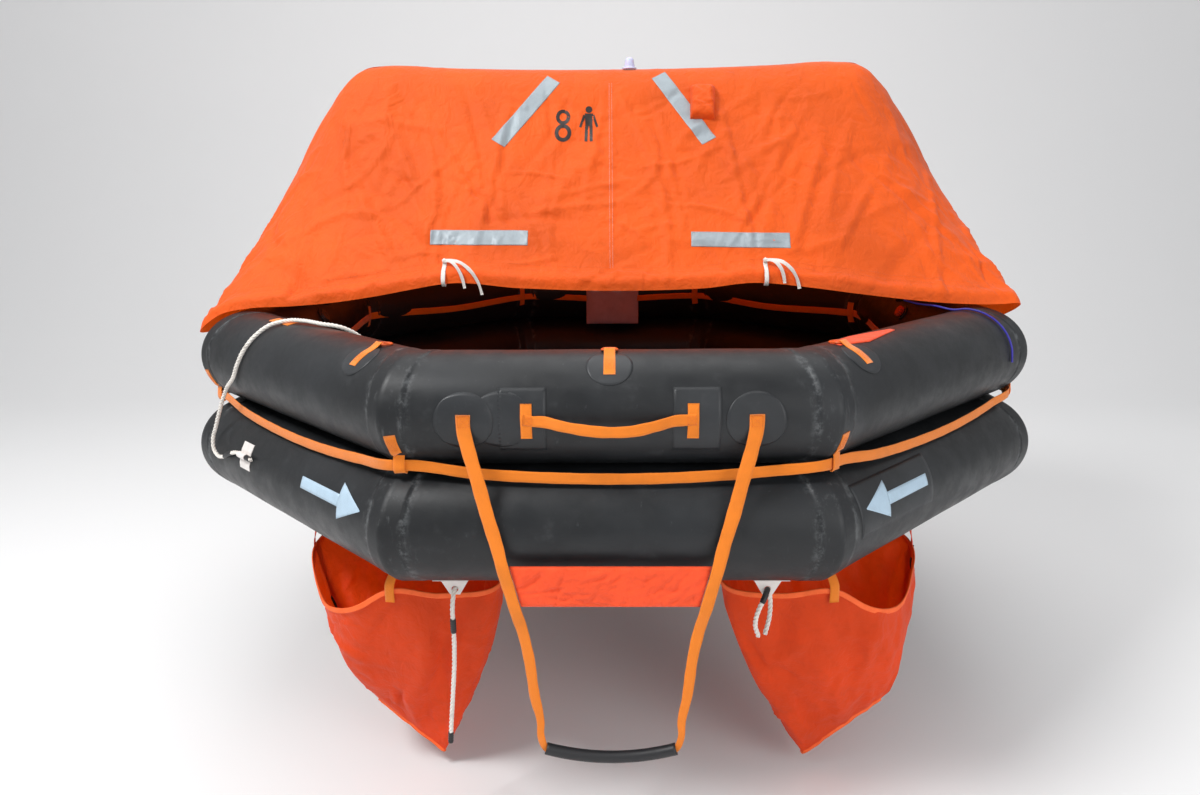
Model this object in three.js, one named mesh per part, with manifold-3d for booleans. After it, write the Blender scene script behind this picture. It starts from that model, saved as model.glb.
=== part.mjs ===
// Inflated canopied liferaft for eight people, in millimetres, +Z up.
// +X is the right-hand side seen from the entrance, -Y faces the entrance.
// The origin is the centre of the floor's underside.
import * as THREE from 'three';
import { mergeVertices } from 'three/addons/utils/BufferGeometryUtils.js';
import Module from 'manifold-3d';

const wasm = await Module();
wasm.setup();

// Driving dimensions

const SIDES = 8;                      // straight lengths in each buoyancy ring
const TUBE_FACETS = 24;               // facets round a buoyancy tube

const LOWER_APOTHEM = 1100;           // centre of the raft to the lower tube's axis
const LOWER_RADIUS = 142;
const UPPER_APOTHEM = 1083;
const UPPER_RADIUS = 131.6;
const TOUCH_GAP = 0.3;                // between pieces that touch
const SOFT_GAP = 0.5;                 // between cloth and what carries it

const FLOOR_THICKNESS = 40;
const FLOOR_RIB_PITCH = 190;
const FLOOR_RIB_DEPTH = 12;
const FLOOR_TUBE_GAP = 0.6;

const ARCH_RADIUS = 85;
const ARCH_FACETS = 16;
const ARCH_KNEE_X = 985;
const ARCH_KNEE_Z = 880;
const ARCH_CORNER_X = 785;
const ARCH_CORNER_Z = 1195.5;
const ARCH_CORNER_ROUND = 70;         // length taken off each side of the ridge corner
const RIDGE_SAG = 22;

const CLOTH_THICKNESS = 3;
const CANOPY_ARCH_GAP = 4.2;
const SEAM_GAP = 0.3;                 // between the front and rear panels on the ridge
const SKIRT_STANDOFF = 7;             // cloth over the tube's shoulder
const SKIRT_TOP_ANGLE = 40;           // degrees above the tube's equator
const SKIRT_HEM_ANGLE = 24;
const REAR_SAG = 24;
const FRONT_SAG = 14;
const HEM_LENGTH = 62;                // turned hem along the entrance edge
const HEM_BULGE = 13;

const FLAP_ROLL_RADIUS = 19;
const TIE_WIDTH = 12;
const TIE_THICKNESS = 1.4;

const TAPE_THICKNESS = 0.8;
const TAPE_LENGTH = 292;
const TAPE_WIDTH = 50;
const SLEEVE_X = 290;
const SLEEVE_Z = 1150;
const SLEEVE_WIDTH = 76;
const SLEEVE_HEIGHT = 122;
const SLEEVE_PROUD = 42;              // how far the reflector sleeve stands off the cloth

const LAMP_X = 62;
const LAMP_RADIUS = 17;
const LAMP_HEIGHT = 37;
const LAMP_FLANGE_RADIUS = 24;
const LAMP_FLANGE_HEIGHT = 4;

const WEBBING_THICKNESS = 2;
const LIFELINE_WIDTH = 26;
const LIFELINE_TAB_WIDTH = 26;
const LIFELINE_TAB_SETBACK = 20;      // from the mitre along the straight
const LIFELINE_OUT = 97;              // outward of the upper tube's axis at a tab
const LIFELINE_DROP = 110;            // below the upper tube's axis at a tab
const LIFELINE_SAG = 27;
const LIFELINE_BULGE = 14;
const INNER_LINE_DROP = 13.5;
const INNER_LINE_SLACK = 11;
const LIFELINE_SLOT_CLEARANCE = 0.9;

const POUCH_WIDTH = 240;
const POUCH_HEIGHT = 190;
const POUCH_TOP_ANGLE = 158;

const HANDLE_HALF_SPAN = 181;
const HANDLE_WIDTH = 25;
const HANDLE_STANDOFF = 42;
const HANDLE_PATCH_ANGLE = 17;

const LADDER_HALF_SPAN = 318;
const LADDER_WIDTH = 32;
const LADDER_THICKNESS = 3;
const RUNG_RADIUS = 14;
const RUNG_WALL = 3.6;
const RUNG_LENGTH = 302;
const RUNG_BOW = 22;
const RUNG_STANDOFF = 20;              // rung's axis in front of the lower tube
const RUNG_Z = -362;
const RUNG_WEBBING_WIDTH = 17;
const STEP_TOP_Z = 100;
const STEP_BOTTOM_Z = -6;
const STEP_STANDOFF = 19;              // step's middle in front of the lower tube
const STEP_LEAN_TOP = 420;            // height at which the ladder's sides start to lean in
const STEP_LEAN = 0.25;               // inward run of the sides for each unit of fall
const STEP_THICKNESS = 15;

const CLOSING_TAB_WIDTH = 26;
const CLOSING_TAB_LOW = 46;           // degrees above the tube's equator
const RING_WIRE = 5;
const RING_BAR_CLEARANCE = 0.5;
const RING_HALF_WIDTH = 18;
const RING_REACH = 34;
const RING_SLEEVE_WALL = 2;
const CLOSING_TAB_SETBACK = 116;      // side tabs, from the mitre along the diagonals

const ROPE_DIAMETER = 12;
const COIL_MID_RADIUS = 108;
const COIL_WIDTH = 48;
const COIL_HEIGHT = 36;
const COIL_X = -560;
const COIL_Y = -560;
const CABLE_DIAMETER = 6;
const CABLE_OFF = 4.4;

const TOW_X = 377;
const TOW_PATCH_WIDTH = 84;
const TOW_TONGUE_LENGTH = 52;

const BAG_THICKNESS = 3;
const BAG_STRAP_WIDTH = 25;

const CYLINDER_RADIUS = 70;
const CYLINDER_LENGTH = 520;
const CYLINDER_Y = 330;
const SLING_THICKNESS = 3;
const SLING_LENGTH = 300;
const SLING_FLANGE = 46;
const HOSE_DIAMETER = 14;

const VALVE_FLANGE_RADIUS = 25;
const VALVE_FLANGE_HEIGHT = 4;
const VALVE_NECK_RADIUS = 14;
const VALVE_NECK_HEIGHT = 15;
const CAP_CLEARANCE = 0.6;
const CAP_WALL = 3.4;
const CAP_TOP = 3;
const CAP_RIBS = 12;
const RELIEF_RADIUS = 27;
const RELIEF_HEIGHT = 11;

// Sizes that follow from the driving dimensions

const HALF_TURN = Math.PI / SIDES;                      // mitre angle of a corner
const FACET_COS = Math.cos(Math.PI / TUBE_FACETS);
const LOWER_Z = LOWER_RADIUS;
const UPPER_Z = LOWER_Z + (LOWER_RADIUS + UPPER_RADIUS) * FACET_COS + TOUCH_GAP;
const LOWER = { apothem: LOWER_APOTHEM, radius: LOWER_RADIUS, z: LOWER_Z };
const UPPER = { apothem: UPPER_APOTHEM, radius: UPPER_RADIUS, z: UPPER_Z };
const CANOPY_RADIUS = ARCH_RADIUS + CANOPY_ARCH_GAP + CLOTH_THICKNESS;
const HOSE_RADIUS = HOSE_DIAMETER / 2;
const ROPE_RADIUS = ROPE_DIAMETER / 2;
const INNER_LINE_Z = UPPER_Z - INNER_LINE_DROP;
const RUNG_Y = -(LOWER_APOTHEM + LOWER_RADIUS + RUNG_STANDOFF);
const STEP_Y = -(LOWER_APOTHEM + LOWER_RADIUS + STEP_STANDOFF);

const FRONT = 0;
const FRONT_RIGHT = 1;
const RIGHT = 2;
const REAR = 4;
const REAR_LEFT = 5;
const LEFT = 6;
const FRONT_LEFT = 7;

const raft = new THREE.Group();
const V = (x, y, z) => new THREE.Vector3(x, y, z);
const radians = THREE.MathUtils.degToRad;
const lerp = THREE.MathUtils.lerp;

// Materials

const finish = (color, roughness, metalness = 0) =>
  () => new THREE.MeshStandardMaterial({ color, roughness, metalness });
const tubeRubber = finish(0x2b2e31, 0.62);
const canopyCloth = finish(0xff4a12, 0.7);
const bagCloth = finish(0xee3c08, 0.72);
const webbing = finish(0xef8424, 0.75);
const whiteTape = finish(0xe4ded8, 0.8);
const greyTape = finish(0x98a2a8, 0.45);
const rope = finish(0xe2dcd6, 0.85);
const blackRubber = finish(0x161718, 0.6);
const clearPlastic = finish(0xb9b6ba, 0.25);
const lampPlastic = finish(0xb8bcd0, 0.3);
const valvePlastic = finish(0x202224, 0.5);
const capPlastic = finish(0xd84a1c, 0.5);
const cylinderPaint = finish(0x5a6268, 0.4, 0.6);
const brass = finish(0xb08a48, 0.35, 0.9);
const steel = finish(0xc8662c, 0.5, 0.1);
const cableBlue = finish(0x3c3a8c, 0.4);

// Solid and mesh helpers

function welded(geometry) {
  const bare = geometry.index ? geometry.toNonIndexed() : geometry.clone();
  for (const name of Object.keys(bare.attributes)) {
    if (name !== 'position') bare.deleteAttribute(name);
  }
  return mergeVertices(bare, 1e-4);
}

function signedVolume(geometry) {
  const p = geometry.attributes.position;
  const a = V(0, 0, 0);
  const b = V(0, 0, 0);
  const c = V(0, 0, 0);
  let sum = 0;
  for (let i = 0; i < geometry.index.count; i += 3) {
    a.fromBufferAttribute(p, geometry.index.getX(i));
    b.fromBufferAttribute(p, geometry.index.getX(i + 1));
    c.fromBufferAttribute(p, geometry.index.getX(i + 2));
    sum += a.dot(b.cross(c));
  }
  return sum / 6;
}

function outward(geometry) {
  const mesh = welded(geometry);
  if (signedVolume(mesh) < 0) {
    const index = mesh.index.array;
    for (let i = 0; i < index.length; i += 3) {
      [index[i], index[i + 1]] = [index[i + 1], index[i]];
    }
  }
  return mesh;
}

function solid(geometry) {
  const mesh = outward(geometry);
  return new wasm.Manifold(new wasm.Mesh({
    numProp: 3,
    vertProperties: new Float32Array(mesh.attributes.position.array),
    triVerts: new Uint32Array(mesh.index.array),
  }));
}

function geometryOf(manifold) {
  const mesh = manifold.getMesh();
  const geometry = new THREE.BufferGeometry();
  geometry.setAttribute('position', new THREE.BufferAttribute(mesh.vertProperties, 3));
  geometry.setIndex(new THREE.BufferAttribute(mesh.triVerts, 1));
  return geometry;
}

function add(name, geometry, material) {
  const mesh = new THREE.Mesh(outward(geometry), material());
  mesh.name = name;
  raft.add(mesh);
  return mesh;
}

// Quads between successive sections; closed joins the last to the first, otherwise both ends are capped.
// The quads after the points listed in turned are cut along their other diagonal.
function loft(sections, closed = false, turned = []) {
  const count = sections[0].length;
  const positions = sections.flat().flatMap((p) => [p.x, p.y, p.z]);
  const index = [];
  const rows = closed ? sections.length : sections.length - 1;
  for (let i = 0; i < rows; i += 1) {
    const here = i * count;
    const next = ((i + 1) % sections.length) * count;
    for (let j = 0; j < count; j += 1) {
      const k = (j + 1) % count;
      if (turned.includes(j)) {
        index.push(here + j, here + k, next + j, here + k, next + k, next + j);
      } else {
        index.push(here + j, here + k, next + k, here + j, next + k, next + j);
      }
    }
  }
  if (!closed) {
    const last = (sections.length - 1) * count;
    for (const triangle of capTriangles(sections[0])) index.push(...[...triangle].reverse());
    for (const triangle of capTriangles(sections.at(-1))) index.push(...triangle.map((j) => last + j));
  }
  const geometry = new THREE.BufferGeometry();
  geometry.setAttribute('position', new THREE.Float32BufferAttribute(positions, 3));
  geometry.setIndex(index);
  return geometry;
}

// Triangles of one end section, cut in the plane that fits it best.
function capTriangles(section) {
  const normal = V(0, 0, 0);
  section.forEach((p, j) => normal.add(p.clone().cross(section[(j + 1) % section.length])));
  normal.normalize();
  const across = new THREE.Vector3().subVectors(section[1], section[0]);
  across.addScaledVector(normal, -across.dot(normal)).normalize();
  const up = new THREE.Vector3().crossVectors(normal, across);
  const flat = section.map((p) => new THREE.Vector2(p.dot(across), p.dot(up)));
  return THREE.ShapeUtils.triangulateShape(flat, []);
}

// A cloth wall between two offsets of a grid of points; grid[i][j] runs along, then down.
// Its first row and its end columns lie on a seam in a plane across Y.
function clothWall(grid, outer, inner) {
  const columns = grid.length;
  const rows = grid[0].length;
  const normals = grid.map((column, i) => column.map((p, j) => {
    const along = new THREE.Vector3().subVectors(
      grid[Math.min(i + 1, columns - 1)][j],
      grid[Math.max(i - 1, 0)][j],
    );
    const down = new THREE.Vector3().subVectors(
      column[Math.min(j + 1, rows - 1)],
      column[Math.max(j - 1, 0)],
    );
    const normal = down.cross(along);
    const onSeam = j === 0 || i === 0 || i === columns - 1;
    return (onSeam ? normal.setY(0) : normal).normalize();
  }));
  const layer = (offset) => grid.map((column, i) =>
    column.map((p, j) => p.clone().addScaledVector(normals[i][j], offset)));
  const top = layer(outer);
  const bottom = layer(inner);
  const positions = [...top.flat(), ...bottom.flat()].flatMap((p) => [p.x, p.y, p.z]);
  const at = (i, j, side) => side * columns * rows + i * rows + j;
  const index = [];
  const quad = (a, b, c, d) => index.push(a, b, c, a, c, d);
  for (let i = 0; i < columns - 1; i += 1) {
    for (let j = 0; j < rows - 1; j += 1) {
      quad(at(i, j, 0), at(i + 1, j, 0), at(i + 1, j + 1, 0), at(i, j + 1, 0));
      quad(at(i, j, 1), at(i, j + 1, 1), at(i + 1, j + 1, 1), at(i + 1, j, 1));
    }
  }
  for (let i = 0; i < columns - 1; i += 1) {
    quad(at(i, 0, 0), at(i, 0, 1), at(i + 1, 0, 1), at(i + 1, 0, 0));
    quad(at(i, rows - 1, 0), at(i + 1, rows - 1, 0), at(i + 1, rows - 1, 1), at(i, rows - 1, 1));
  }
  for (let j = 0; j < rows - 1; j += 1) {
    quad(at(0, j, 0), at(0, j + 1, 0), at(0, j + 1, 1), at(0, j, 1));
    quad(at(columns - 1, j, 0), at(columns - 1, j, 1), at(columns - 1, j + 1, 1), at(columns - 1, j + 1, 0));
  }
  const geometry = new THREE.BufferGeometry();
  geometry.setAttribute('position', new THREE.Float32BufferAttribute(positions, 3));
  geometry.setIndex(index);
  return geometry;
}

// The broad side of a strap whose quads follow the opposite side's diagonals, so that a twist keeps
// its thickness.
const STRAP_BACK = [2];

// A flat strap along stations, each a point, a face direction and a width.
function strap(stations, thickness) {
  const points = stations.map(([p]) => p);
  const sections = stations.map(([p, face, width], i) => {
    const ahead = points[Math.min(i + 1, points.length - 1)];
    const behind = points[Math.max(i - 1, 0)];
    const run = new THREE.Vector3().subVectors(ahead, behind).normalize();
    const side = new THREE.Vector3().crossVectors(run, face).normalize();
    const out = new THREE.Vector3().crossVectors(side, run).normalize();
    const corner = (s, t) => p.clone()
      .addScaledVector(side, s * width / 2)
      .addScaledVector(out, t * thickness / 2);
    return [corner(-1, -1), corner(1, -1), corner(1, 1), corner(-1, 1)];
  });
  return loft(sections, false, STRAP_BACK);
}

function closedStrap(stations, thickness) {
  const count = stations.length;
  const sections = stations.map(([p, face, width], i) => {
    const ahead = stations[(i + 1) % count][0];
    const behind = stations[(i + count - 1) % count][0];
    const run = new THREE.Vector3().subVectors(ahead, behind).normalize();
    const side = new THREE.Vector3().crossVectors(run, face).normalize();
    const out = new THREE.Vector3().crossVectors(side, run).normalize();
    const corner = (s, t) => p.clone()
      .addScaledVector(side, s * width / 2)
      .addScaledVector(out, t * thickness / 2);
    return [corner(-1, -1), corner(1, -1), corner(1, 1), corner(-1, 1)];
  });
  return loft(sections, true, STRAP_BACK);
}

// A round cord along a smooth curve through points.
function cord(points, diameter, steps, sides = 8) {
  const curve = new THREE.CatmullRomCurve3(points, false, 'centripetal');
  const section = new THREE.Shape(
    new THREE.Path().absarc(0, 0, diameter / 2, 0, 2 * Math.PI).getSpacedPoints(sides).slice(0, sides),
  );
  return new THREE.ExtrudeGeometry(section, { steps, extrudePath: curve, bevelEnabled: false });
}

// Octagon helpers: faces are numbered anticlockwise from the entrance side

const faceAngle = (face) => radians(-90 + face * 360 / SIDES);
const faceOut = (face) => V(Math.cos(faceAngle(face)), Math.sin(faceAngle(face)), 0);
const faceAlong = (face) => V(-Math.sin(faceAngle(face)), Math.cos(faceAngle(face)), 0);
const halfSide = (apothem) => apothem * Math.tan(HALF_TURN);
const onFace = (face, apothem, station, z) => faceOut(face)
  .multiplyScalar(apothem)
  .addScaledVector(faceAlong(face), station)
  .setZ(z);
const facePlane = (face, station = 0) => new THREE.Matrix4()
  .makeBasis(faceOut(face), V(0, 0, 1), faceAlong(face).negate())
  .setPosition(faceAlong(face).multiplyScalar(station));

// Corners of a tube's faceted section: flats face every 15 degrees.
function tubeSection(radius) {
  return Array.from({ length: TUBE_FACETS }, (_, i) => {
    const angle = (i + 0.5) * 2 * Math.PI / TUBE_FACETS;
    return [radius * Math.cos(angle), radius * Math.sin(angle)];
  });
}

// A point on the faceted section at any angle in degrees.
function onSection(radius, degrees) {
  const pitch = 360 / TUBE_FACETS;
  const off = radians(degrees - Math.round(degrees / pitch) * pitch);
  const reach = radius * FACET_COS / Math.cos(off);
  return [reach * Math.cos(radians(degrees)), reach * Math.sin(radians(degrees))];
}

// Section points between two angles, with every facet corner between them.
function sectionRun(radius, from, to) {
  const pitch = 360 / TUBE_FACETS;
  const angles = [from];
  for (let i = -TUBE_FACETS; i <= TUBE_FACETS; i += 1) {
    const corner = (i + 0.5) * pitch;
    if (corner > from + 0.5 && corner < to - 0.5) angles.push(corner);
  }
  angles.push(to);
  return angles.map((angle) => onSection(radius, angle));
}

function buoyancyRing(tube) {
  const profile = tubeSection(tube.radius);
  const mitre = (face) => profile.map(([a, b]) => {
    const apothem = tube.apothem + a;
    return onFace(face, apothem, halfSide(apothem), tube.z + b);
  });
  return loft(Array.from({ length: SIDES }, (_, face) => mitre(face)), true);
}

// A profile drawn as [outward, up] from a tube's axis, extruded along one face.
function alongTube(profile, tube, face, station, width, holes = []) {
  const shape = new THREE.Shape(profile.map(([a, b]) => new THREE.Vector2(tube.apothem + a, tube.z + b)));
  for (const hole of holes) {
    shape.holes.push(new THREE.Path(hole.map(([a, b]) => new THREE.Vector2(tube.apothem + a, tube.z + b))));
  }
  const geometry = new THREE.ExtrudeGeometry(shape, { depth: width, bevelEnabled: false });
  geometry.translate(0, 0, -width / 2);
  geometry.applyMatrix4(facePlane(face, station));
  return geometry;
}

// A patch bonded over a tube between two angles.
function wrapProfile(radius, from, to, thickness) {
  return [...sectionRun(radius, from, to), ...sectionRun(radius + thickness, from, to).reverse()];
}

// Buoyancy tubes and floor

add('lower_buoyancy_tube', buoyancyRing(LOWER), tubeRubber);
add('upper_buoyancy_tube', buoyancyRing(UPPER), tubeRubber);

function octagonPrism(levels) {
  return loft(levels.map(([apothem, z]) => Array.from({ length: SIDES }, (_, face) =>
    onFace(face, apothem, halfSide(apothem), z))));
}

function raftFloor() {
  const fit = (degrees) => onSection(LOWER_RADIUS + FLOOR_TUBE_GAP, degrees);
  const [low, middle, high] = [fit(-112.5), fit(-127.5), fit(-142.5)];
  const share = (FLOOR_THICKNESS - LOWER_Z - middle[1]) / (high[1] - middle[1]);
  const rim = LOWER_APOTHEM + lerp(middle[0], high[0], share);
  const plan = solid(octagonPrism([
    [LOWER_APOTHEM + low[0], 0],
    [LOWER_APOTHEM + low[0], LOWER_Z + low[1]],
    [LOWER_APOTHEM + middle[0], LOWER_Z + middle[1]],
    [rim, FLOOR_THICKNESS],
  ]));
  const ribs = Math.floor(2 * rim / FLOOR_RIB_PITCH / 2) * 2 + 1;
  const reach = ribs * FLOOR_RIB_PITCH / 2;
  const outline = [new THREE.Vector2(-reach, 0), new THREE.Vector2(reach, 0)];
  const humpSteps = 4;
  for (let rib = ribs; rib > 0; rib -= 1) {
    for (let step = 0; step < humpSteps; step += 1) {
      const x = -reach + (rib - step / humpSteps) * FLOOR_RIB_PITCH;
      const rise = Math.sqrt(Math.sin(Math.PI * step / humpSteps));
      outline.push(new THREE.Vector2(x, FLOOR_THICKNESS - FLOOR_RIB_DEPTH * (1 - rise)));
    }
  }
  outline.push(new THREE.Vector2(-reach, FLOOR_THICKNESS - FLOOR_RIB_DEPTH));
  const depth = 2 * reach;
  const ribbed = new THREE.ExtrudeGeometry(new THREE.Shape(outline), { depth, bevelEnabled: false });
  ribbed.translate(0, 0, -reach);
  ribbed.rotateX(Math.PI / 2);
  return geometryOf(plan.intersect(solid(ribbed)));
}
add('raft_floor', raftFloor(), tubeRubber);

// Arch tube

// Axis of the arch at a place from 0, the left foot, to 1, the right foot.
const ridgeSagAt = (x) => RIDGE_SAG * (1 - (x / ARCH_CORNER_X) ** 2);
function archAxis() {
  const foot = V(-UPPER_APOTHEM, 0, UPPER_Z + ARCH_RADIUS / 4);
  const knee = V(-ARCH_KNEE_X, 0, ARCH_KNEE_Z);
  const corner = V(-ARCH_CORNER_X, 0, ARCH_CORNER_Z);
  const toKnee = knee.clone().sub(corner).normalize();
  const before = corner.clone().addScaledVector(toKnee, ARCH_CORNER_ROUND);
  const after = corner.clone().add(V(ARCH_CORNER_ROUND, 0, -ridgeSagAt(ARCH_CORNER_X - ARCH_CORNER_ROUND)));
  const middle = before.clone().add(after).multiplyScalar(0.25).addScaledVector(corner, 0.5);
  const ridge = [-520, -260].map((x) => V(x, 0, ARCH_CORNER_Z - ridgeSagAt(x)));
  const left = [foot, knee, before, middle, after, ...ridge];
  const right = left.map((p) => V(-p.x, 0, p.z)).reverse();
  return [...left, V(0, 0, ARCH_CORNER_Z - RIDGE_SAG), ...right];
}
const ARCH = archAxis();

// Outward direction at each point of the arch, square to the mean of its two runs.
const ARCH_OUT = ARCH.map((p, i) => {
  const ahead = ARCH[Math.min(i + 1, ARCH.length - 1)].clone().sub(p).normalize();
  const behind = p.clone().sub(ARCH[Math.max(i - 1, 0)]).normalize();
  const run = ahead.clone().add(behind).normalize();
  const mitre = ahead.lengthSq() && behind.lengthSq() ? Math.max(run.dot(ahead), run.dot(behind)) : 1;
  return V(-run.z, 0, run.x).divideScalar(mitre);
});

function archTube() {
  const sections = ARCH.map((p, i) => Array.from({ length: ARCH_FACETS }, (_, j) => {
    const angle = (j + 0.5) * 2 * Math.PI / ARCH_FACETS;
    return p.clone()
      .addScaledVector(ARCH_OUT[i], ARCH_RADIUS * Math.cos(angle))
      .add(V(0, ARCH_RADIUS * Math.sin(angle), 0));
  }));
  const saddle = (face) => {
    const reach = halfSide(UPPER_APOTHEM) / 2;
    const profile = tubeSection(UPPER_RADIUS + TOUCH_GAP / FACET_COS);
    return solid(alongTube(profile, UPPER, face, 0, 2 * reach));
  };
  return geometryOf(solid(loft(sections)).subtract(saddle(LEFT)).subtract(saddle(RIGHT)));
}
add('arch_tube', archTube(), tubeRubber);

// Canopy panels, drawn as columns of points from the ridge seam down to the hem.
// A place on the arch counts its points from the left foot: 1 is the knee, 3 the ridge corner.

function archAt(place) {
  const before = Math.min(Math.floor(place), ARCH.length - 2);
  const share = place - before;
  return {
    point: ARCH[before].clone().lerp(ARCH[before + 1], share),
    out: ARCH_OUT[before].clone().lerp(ARCH_OUT[before + 1], share),
  };
}
const RIDGE_MIDDLE = (ARCH.length - 1) / 2;
const mirrored = (place) => 2 * RIDGE_MIDDLE - place;

// Points over the arch from the seam to where the cloth leaves for its target.
function overArch(place, target, side) {
  const { point, out } = archAt(place);
  const toTarget = target.clone().sub(point);
  const rise = toTarget.dot(out);
  const spread = Math.max(side * toTarget.y, 1);
  const distance = Math.hypot(rise, spread);
  const leave = Math.atan2(spread, rise) - Math.acos(Math.min(1, CANOPY_RADIUS / distance));
  const wrap = Math.max(leave, radians(10));
  const seam = V(0, side * SEAM_GAP / 2, 0);
  return [0, 0.5, 1].map((share) => point.clone()
    .addScaledVector(out, CANOPY_RADIUS * Math.cos(wrap * share))
    .add(V(0, side * CANOPY_RADIUS * Math.sin(wrap * share), 0))
    .add(share === 0 ? seam : V(0, 0, 0)));
}

// A place on the tube's shoulder: on a face at a station, or on the mitre when station is null.
function shoulderPoint(face, station, radius, degrees) {
  const a = UPPER_APOTHEM + radius * Math.cos(radians(degrees));
  const z = UPPER_Z + radius * Math.sin(radians(degrees));
  return onFace(face, a, station === null ? halfSide(a) : station, z);
}

function sagged(from, to, steps, sag, inward) {
  return Array.from({ length: steps }, (_, i) => {
    const share = (i + 1) / (steps + 1);
    const drop = sag * Math.sin(Math.PI * share) ** 1.4;
    return from.clone().lerp(to, share).addScaledVector(inward, drop);
  });
}

const SPAN_ROWS = 5;
const SKIRT_NEAR = UPPER_RADIUS + SOFT_GAP + CLOTH_THICKNESS;
const SKIRT_FAR = UPPER_RADIUS + SKIRT_STANDOFF + CLOTH_THICKNESS;

function skirtFoot(face, station, top) {
  return [
    shoulderPoint(face, station, SKIRT_FAR, top),
    shoulderPoint(face, station, lerp(SKIRT_NEAR, SKIRT_FAR, 0.6), lerp(top, SKIRT_HEM_ANGLE, 0.5)),
    shoulderPoint(face, station, SKIRT_NEAR, SKIRT_HEM_ANGLE),
  ];
}

// The seam down the side, below the arch's foot, where the two panels meet.
function seamColumn(place, side, face) {
  const { point, out } = archAt(place);
  const start = point.clone().addScaledVector(out, CANOPY_RADIUS);
  const along = Math.sign(faceAlong(face).y) * side * SEAM_GAP / 2;
  const foot = skirtFoot(face, along, SKIRT_TOP_ANGLE);
  start.y = foot[0].y;
  const rows = SPAN_ROWS + 3;
  const span = Array.from({ length: rows }, (_, i) => start.clone().lerp(foot[0], i / rows));
  return [...span, ...foot];
}

// A column that ends in a skirt wrapped over the upper tube's shoulder.
function skirtColumn(place, side, face, station, sag) {
  const { point } = archAt(place);
  const scale = station === null ? Math.cos(HALF_TURN) : 1;
  const direction = station === null
    ? onFace(face, 1, Math.tan(HALF_TURN), 0).normalize()
    : faceOut(face);
  const back = point.dot(direction) * scale - UPPER_APOTHEM;
  const up = point.z - UPPER_Z;
  const grazing = Math.acos(Math.min(1, SKIRT_FAR / Math.hypot(up, back)));
  const tangent = THREE.MathUtils.radToDeg(Math.atan2(up, back) - grazing);
  const foot = skirtFoot(face, station, Math.max(tangent, SKIRT_TOP_ANGLE));
  const start = overArch(place, foot[0], side);
  const inward = V(-direction.x, -direction.y, -0.9).normalize();
  return [...start, ...sagged(start.at(-1), foot[0], SPAN_ROWS, sag, inward), ...foot];
}

// A column that ends in the free hem over the entrance.
function entranceColumn(place, edge, sag) {
  const start = overArch(place, edge, -1);
  const fall = edge.clone().sub(start.at(-1));
  const length = fall.length();
  fall.normalize();
  const outwardFold = new THREE.Vector3().crossVectors(V(1, 0, 0), fall).normalize().negate();
  const fold = edge.clone().addScaledVector(fall, -Math.min(HEM_LENGTH, length / 3));
  const bulge = edge.clone().lerp(fold, 0.5).addScaledVector(outwardFold, HEM_BULGE);
  const inward = outwardFold.clone().negate();
  return [...start, ...sagged(start.at(-1), fold, SPAN_ROWS, sag, inward), fold, bulge, edge];
}

// Lowest points of the entrance edge, left to right, with the place on the arch that each hangs from.
const ENTRANCE_EDGE = [
  [1, V(-1236, -452, 484)],
  [1.3, V(-1172, -456, 534)],
  [1.65, V(-1080, -462, 555)],
  [2, V(-950, -470, 562)],
  [3, V(-830, -478, 572)],
  [4, V(-700, -480, 590)],
  [4.5, V(-600, -480, 608)],
  [5, V(-485, -480, 627)],
  [6, V(-265, -480, 613)],
  [7, V(0, -480, 604)],
  [mirrored(6), V(260, -480, 609)],
  [mirrored(5), V(450, -480, 624)],
  [mirrored(4.5), V(590, -480, 609)],
  [mirrored(4), V(700, -480, 594)],
  [mirrored(3), V(860, -478, 574)],
  [mirrored(2), V(975, -470, 562)],
  [mirrored(1.65), V(1090, -462, 556)],
  [mirrored(1.3), V(1150, -456, 556)],
  [mirrored(1), V(1205, -452, 558)],
];
const FLANK_STATION = 216;
const SEAM_PLACE = 0.3;
const FLANK_PLACE = 0.62;

function canopyFront() {
  return [
    seamColumn(SEAM_PLACE, -1, LEFT),
    skirtColumn(FLANK_PLACE, -1, LEFT, FLANK_STATION, 0),
    ...ENTRANCE_EDGE.map(([place, edge]) => entranceColumn(place, edge, FRONT_SAG)),
    skirtColumn(mirrored(FLANK_PLACE), -1, RIGHT, -FLANK_STATION, 0),
    seamColumn(mirrored(SEAM_PLACE), -1, RIGHT),
  ];
}

// Skirt columns of the rear panel's left half: place, face, station as a share of the half side, sag share.
const REAR_COLUMNS = [
  [1, REAR_LEFT, null, 0.3],
  [1.5, REAR_LEFT, 0.33, 0.6],
  [2, REAR_LEFT, 0, 0.7],
  [3, REAR_LEFT, -0.45, 0.85],
  [4, REAR, null, 1],
  [5, REAR, 0.6, 1],
  [6, REAR, 0.3, 1],
];

function canopyRear() {
  const stationOf = (share) => (share === null ? null : share * halfSide(UPPER_APOTHEM));
  const left = REAR_COLUMNS.map(([place, face, share, sag]) =>
    skirtColumn(place, 1, face, stationOf(share), sag * REAR_SAG));
  const opposite = (column) => column.map((p) => V(-p.x, p.y, p.z));
  const half = [
    seamColumn(SEAM_PLACE, 1, LEFT),
    skirtColumn(FLANK_PLACE, 1, LEFT, -FLANK_STATION, 0),
    ...left,
  ];
  const middle = skirtColumn(RIDGE_MIDDLE, 1, REAR, 0, REAR_SAG);
  return [...half, middle, ...half.map(opposite).reverse()].reverse();
}

const FRONT_GRID = canopyFront();
const REAR_GRID = canopyRear();
add('canopy_front', clothWall(FRONT_GRID, 0, -CLOTH_THICKNESS), canopyCloth);
add('canopy_rear', clothWall(REAR_GRID, 0, -CLOTH_THICKNESS), canopyCloth);

// Rolled entrance flap, held inside the hem by two tape ties

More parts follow.
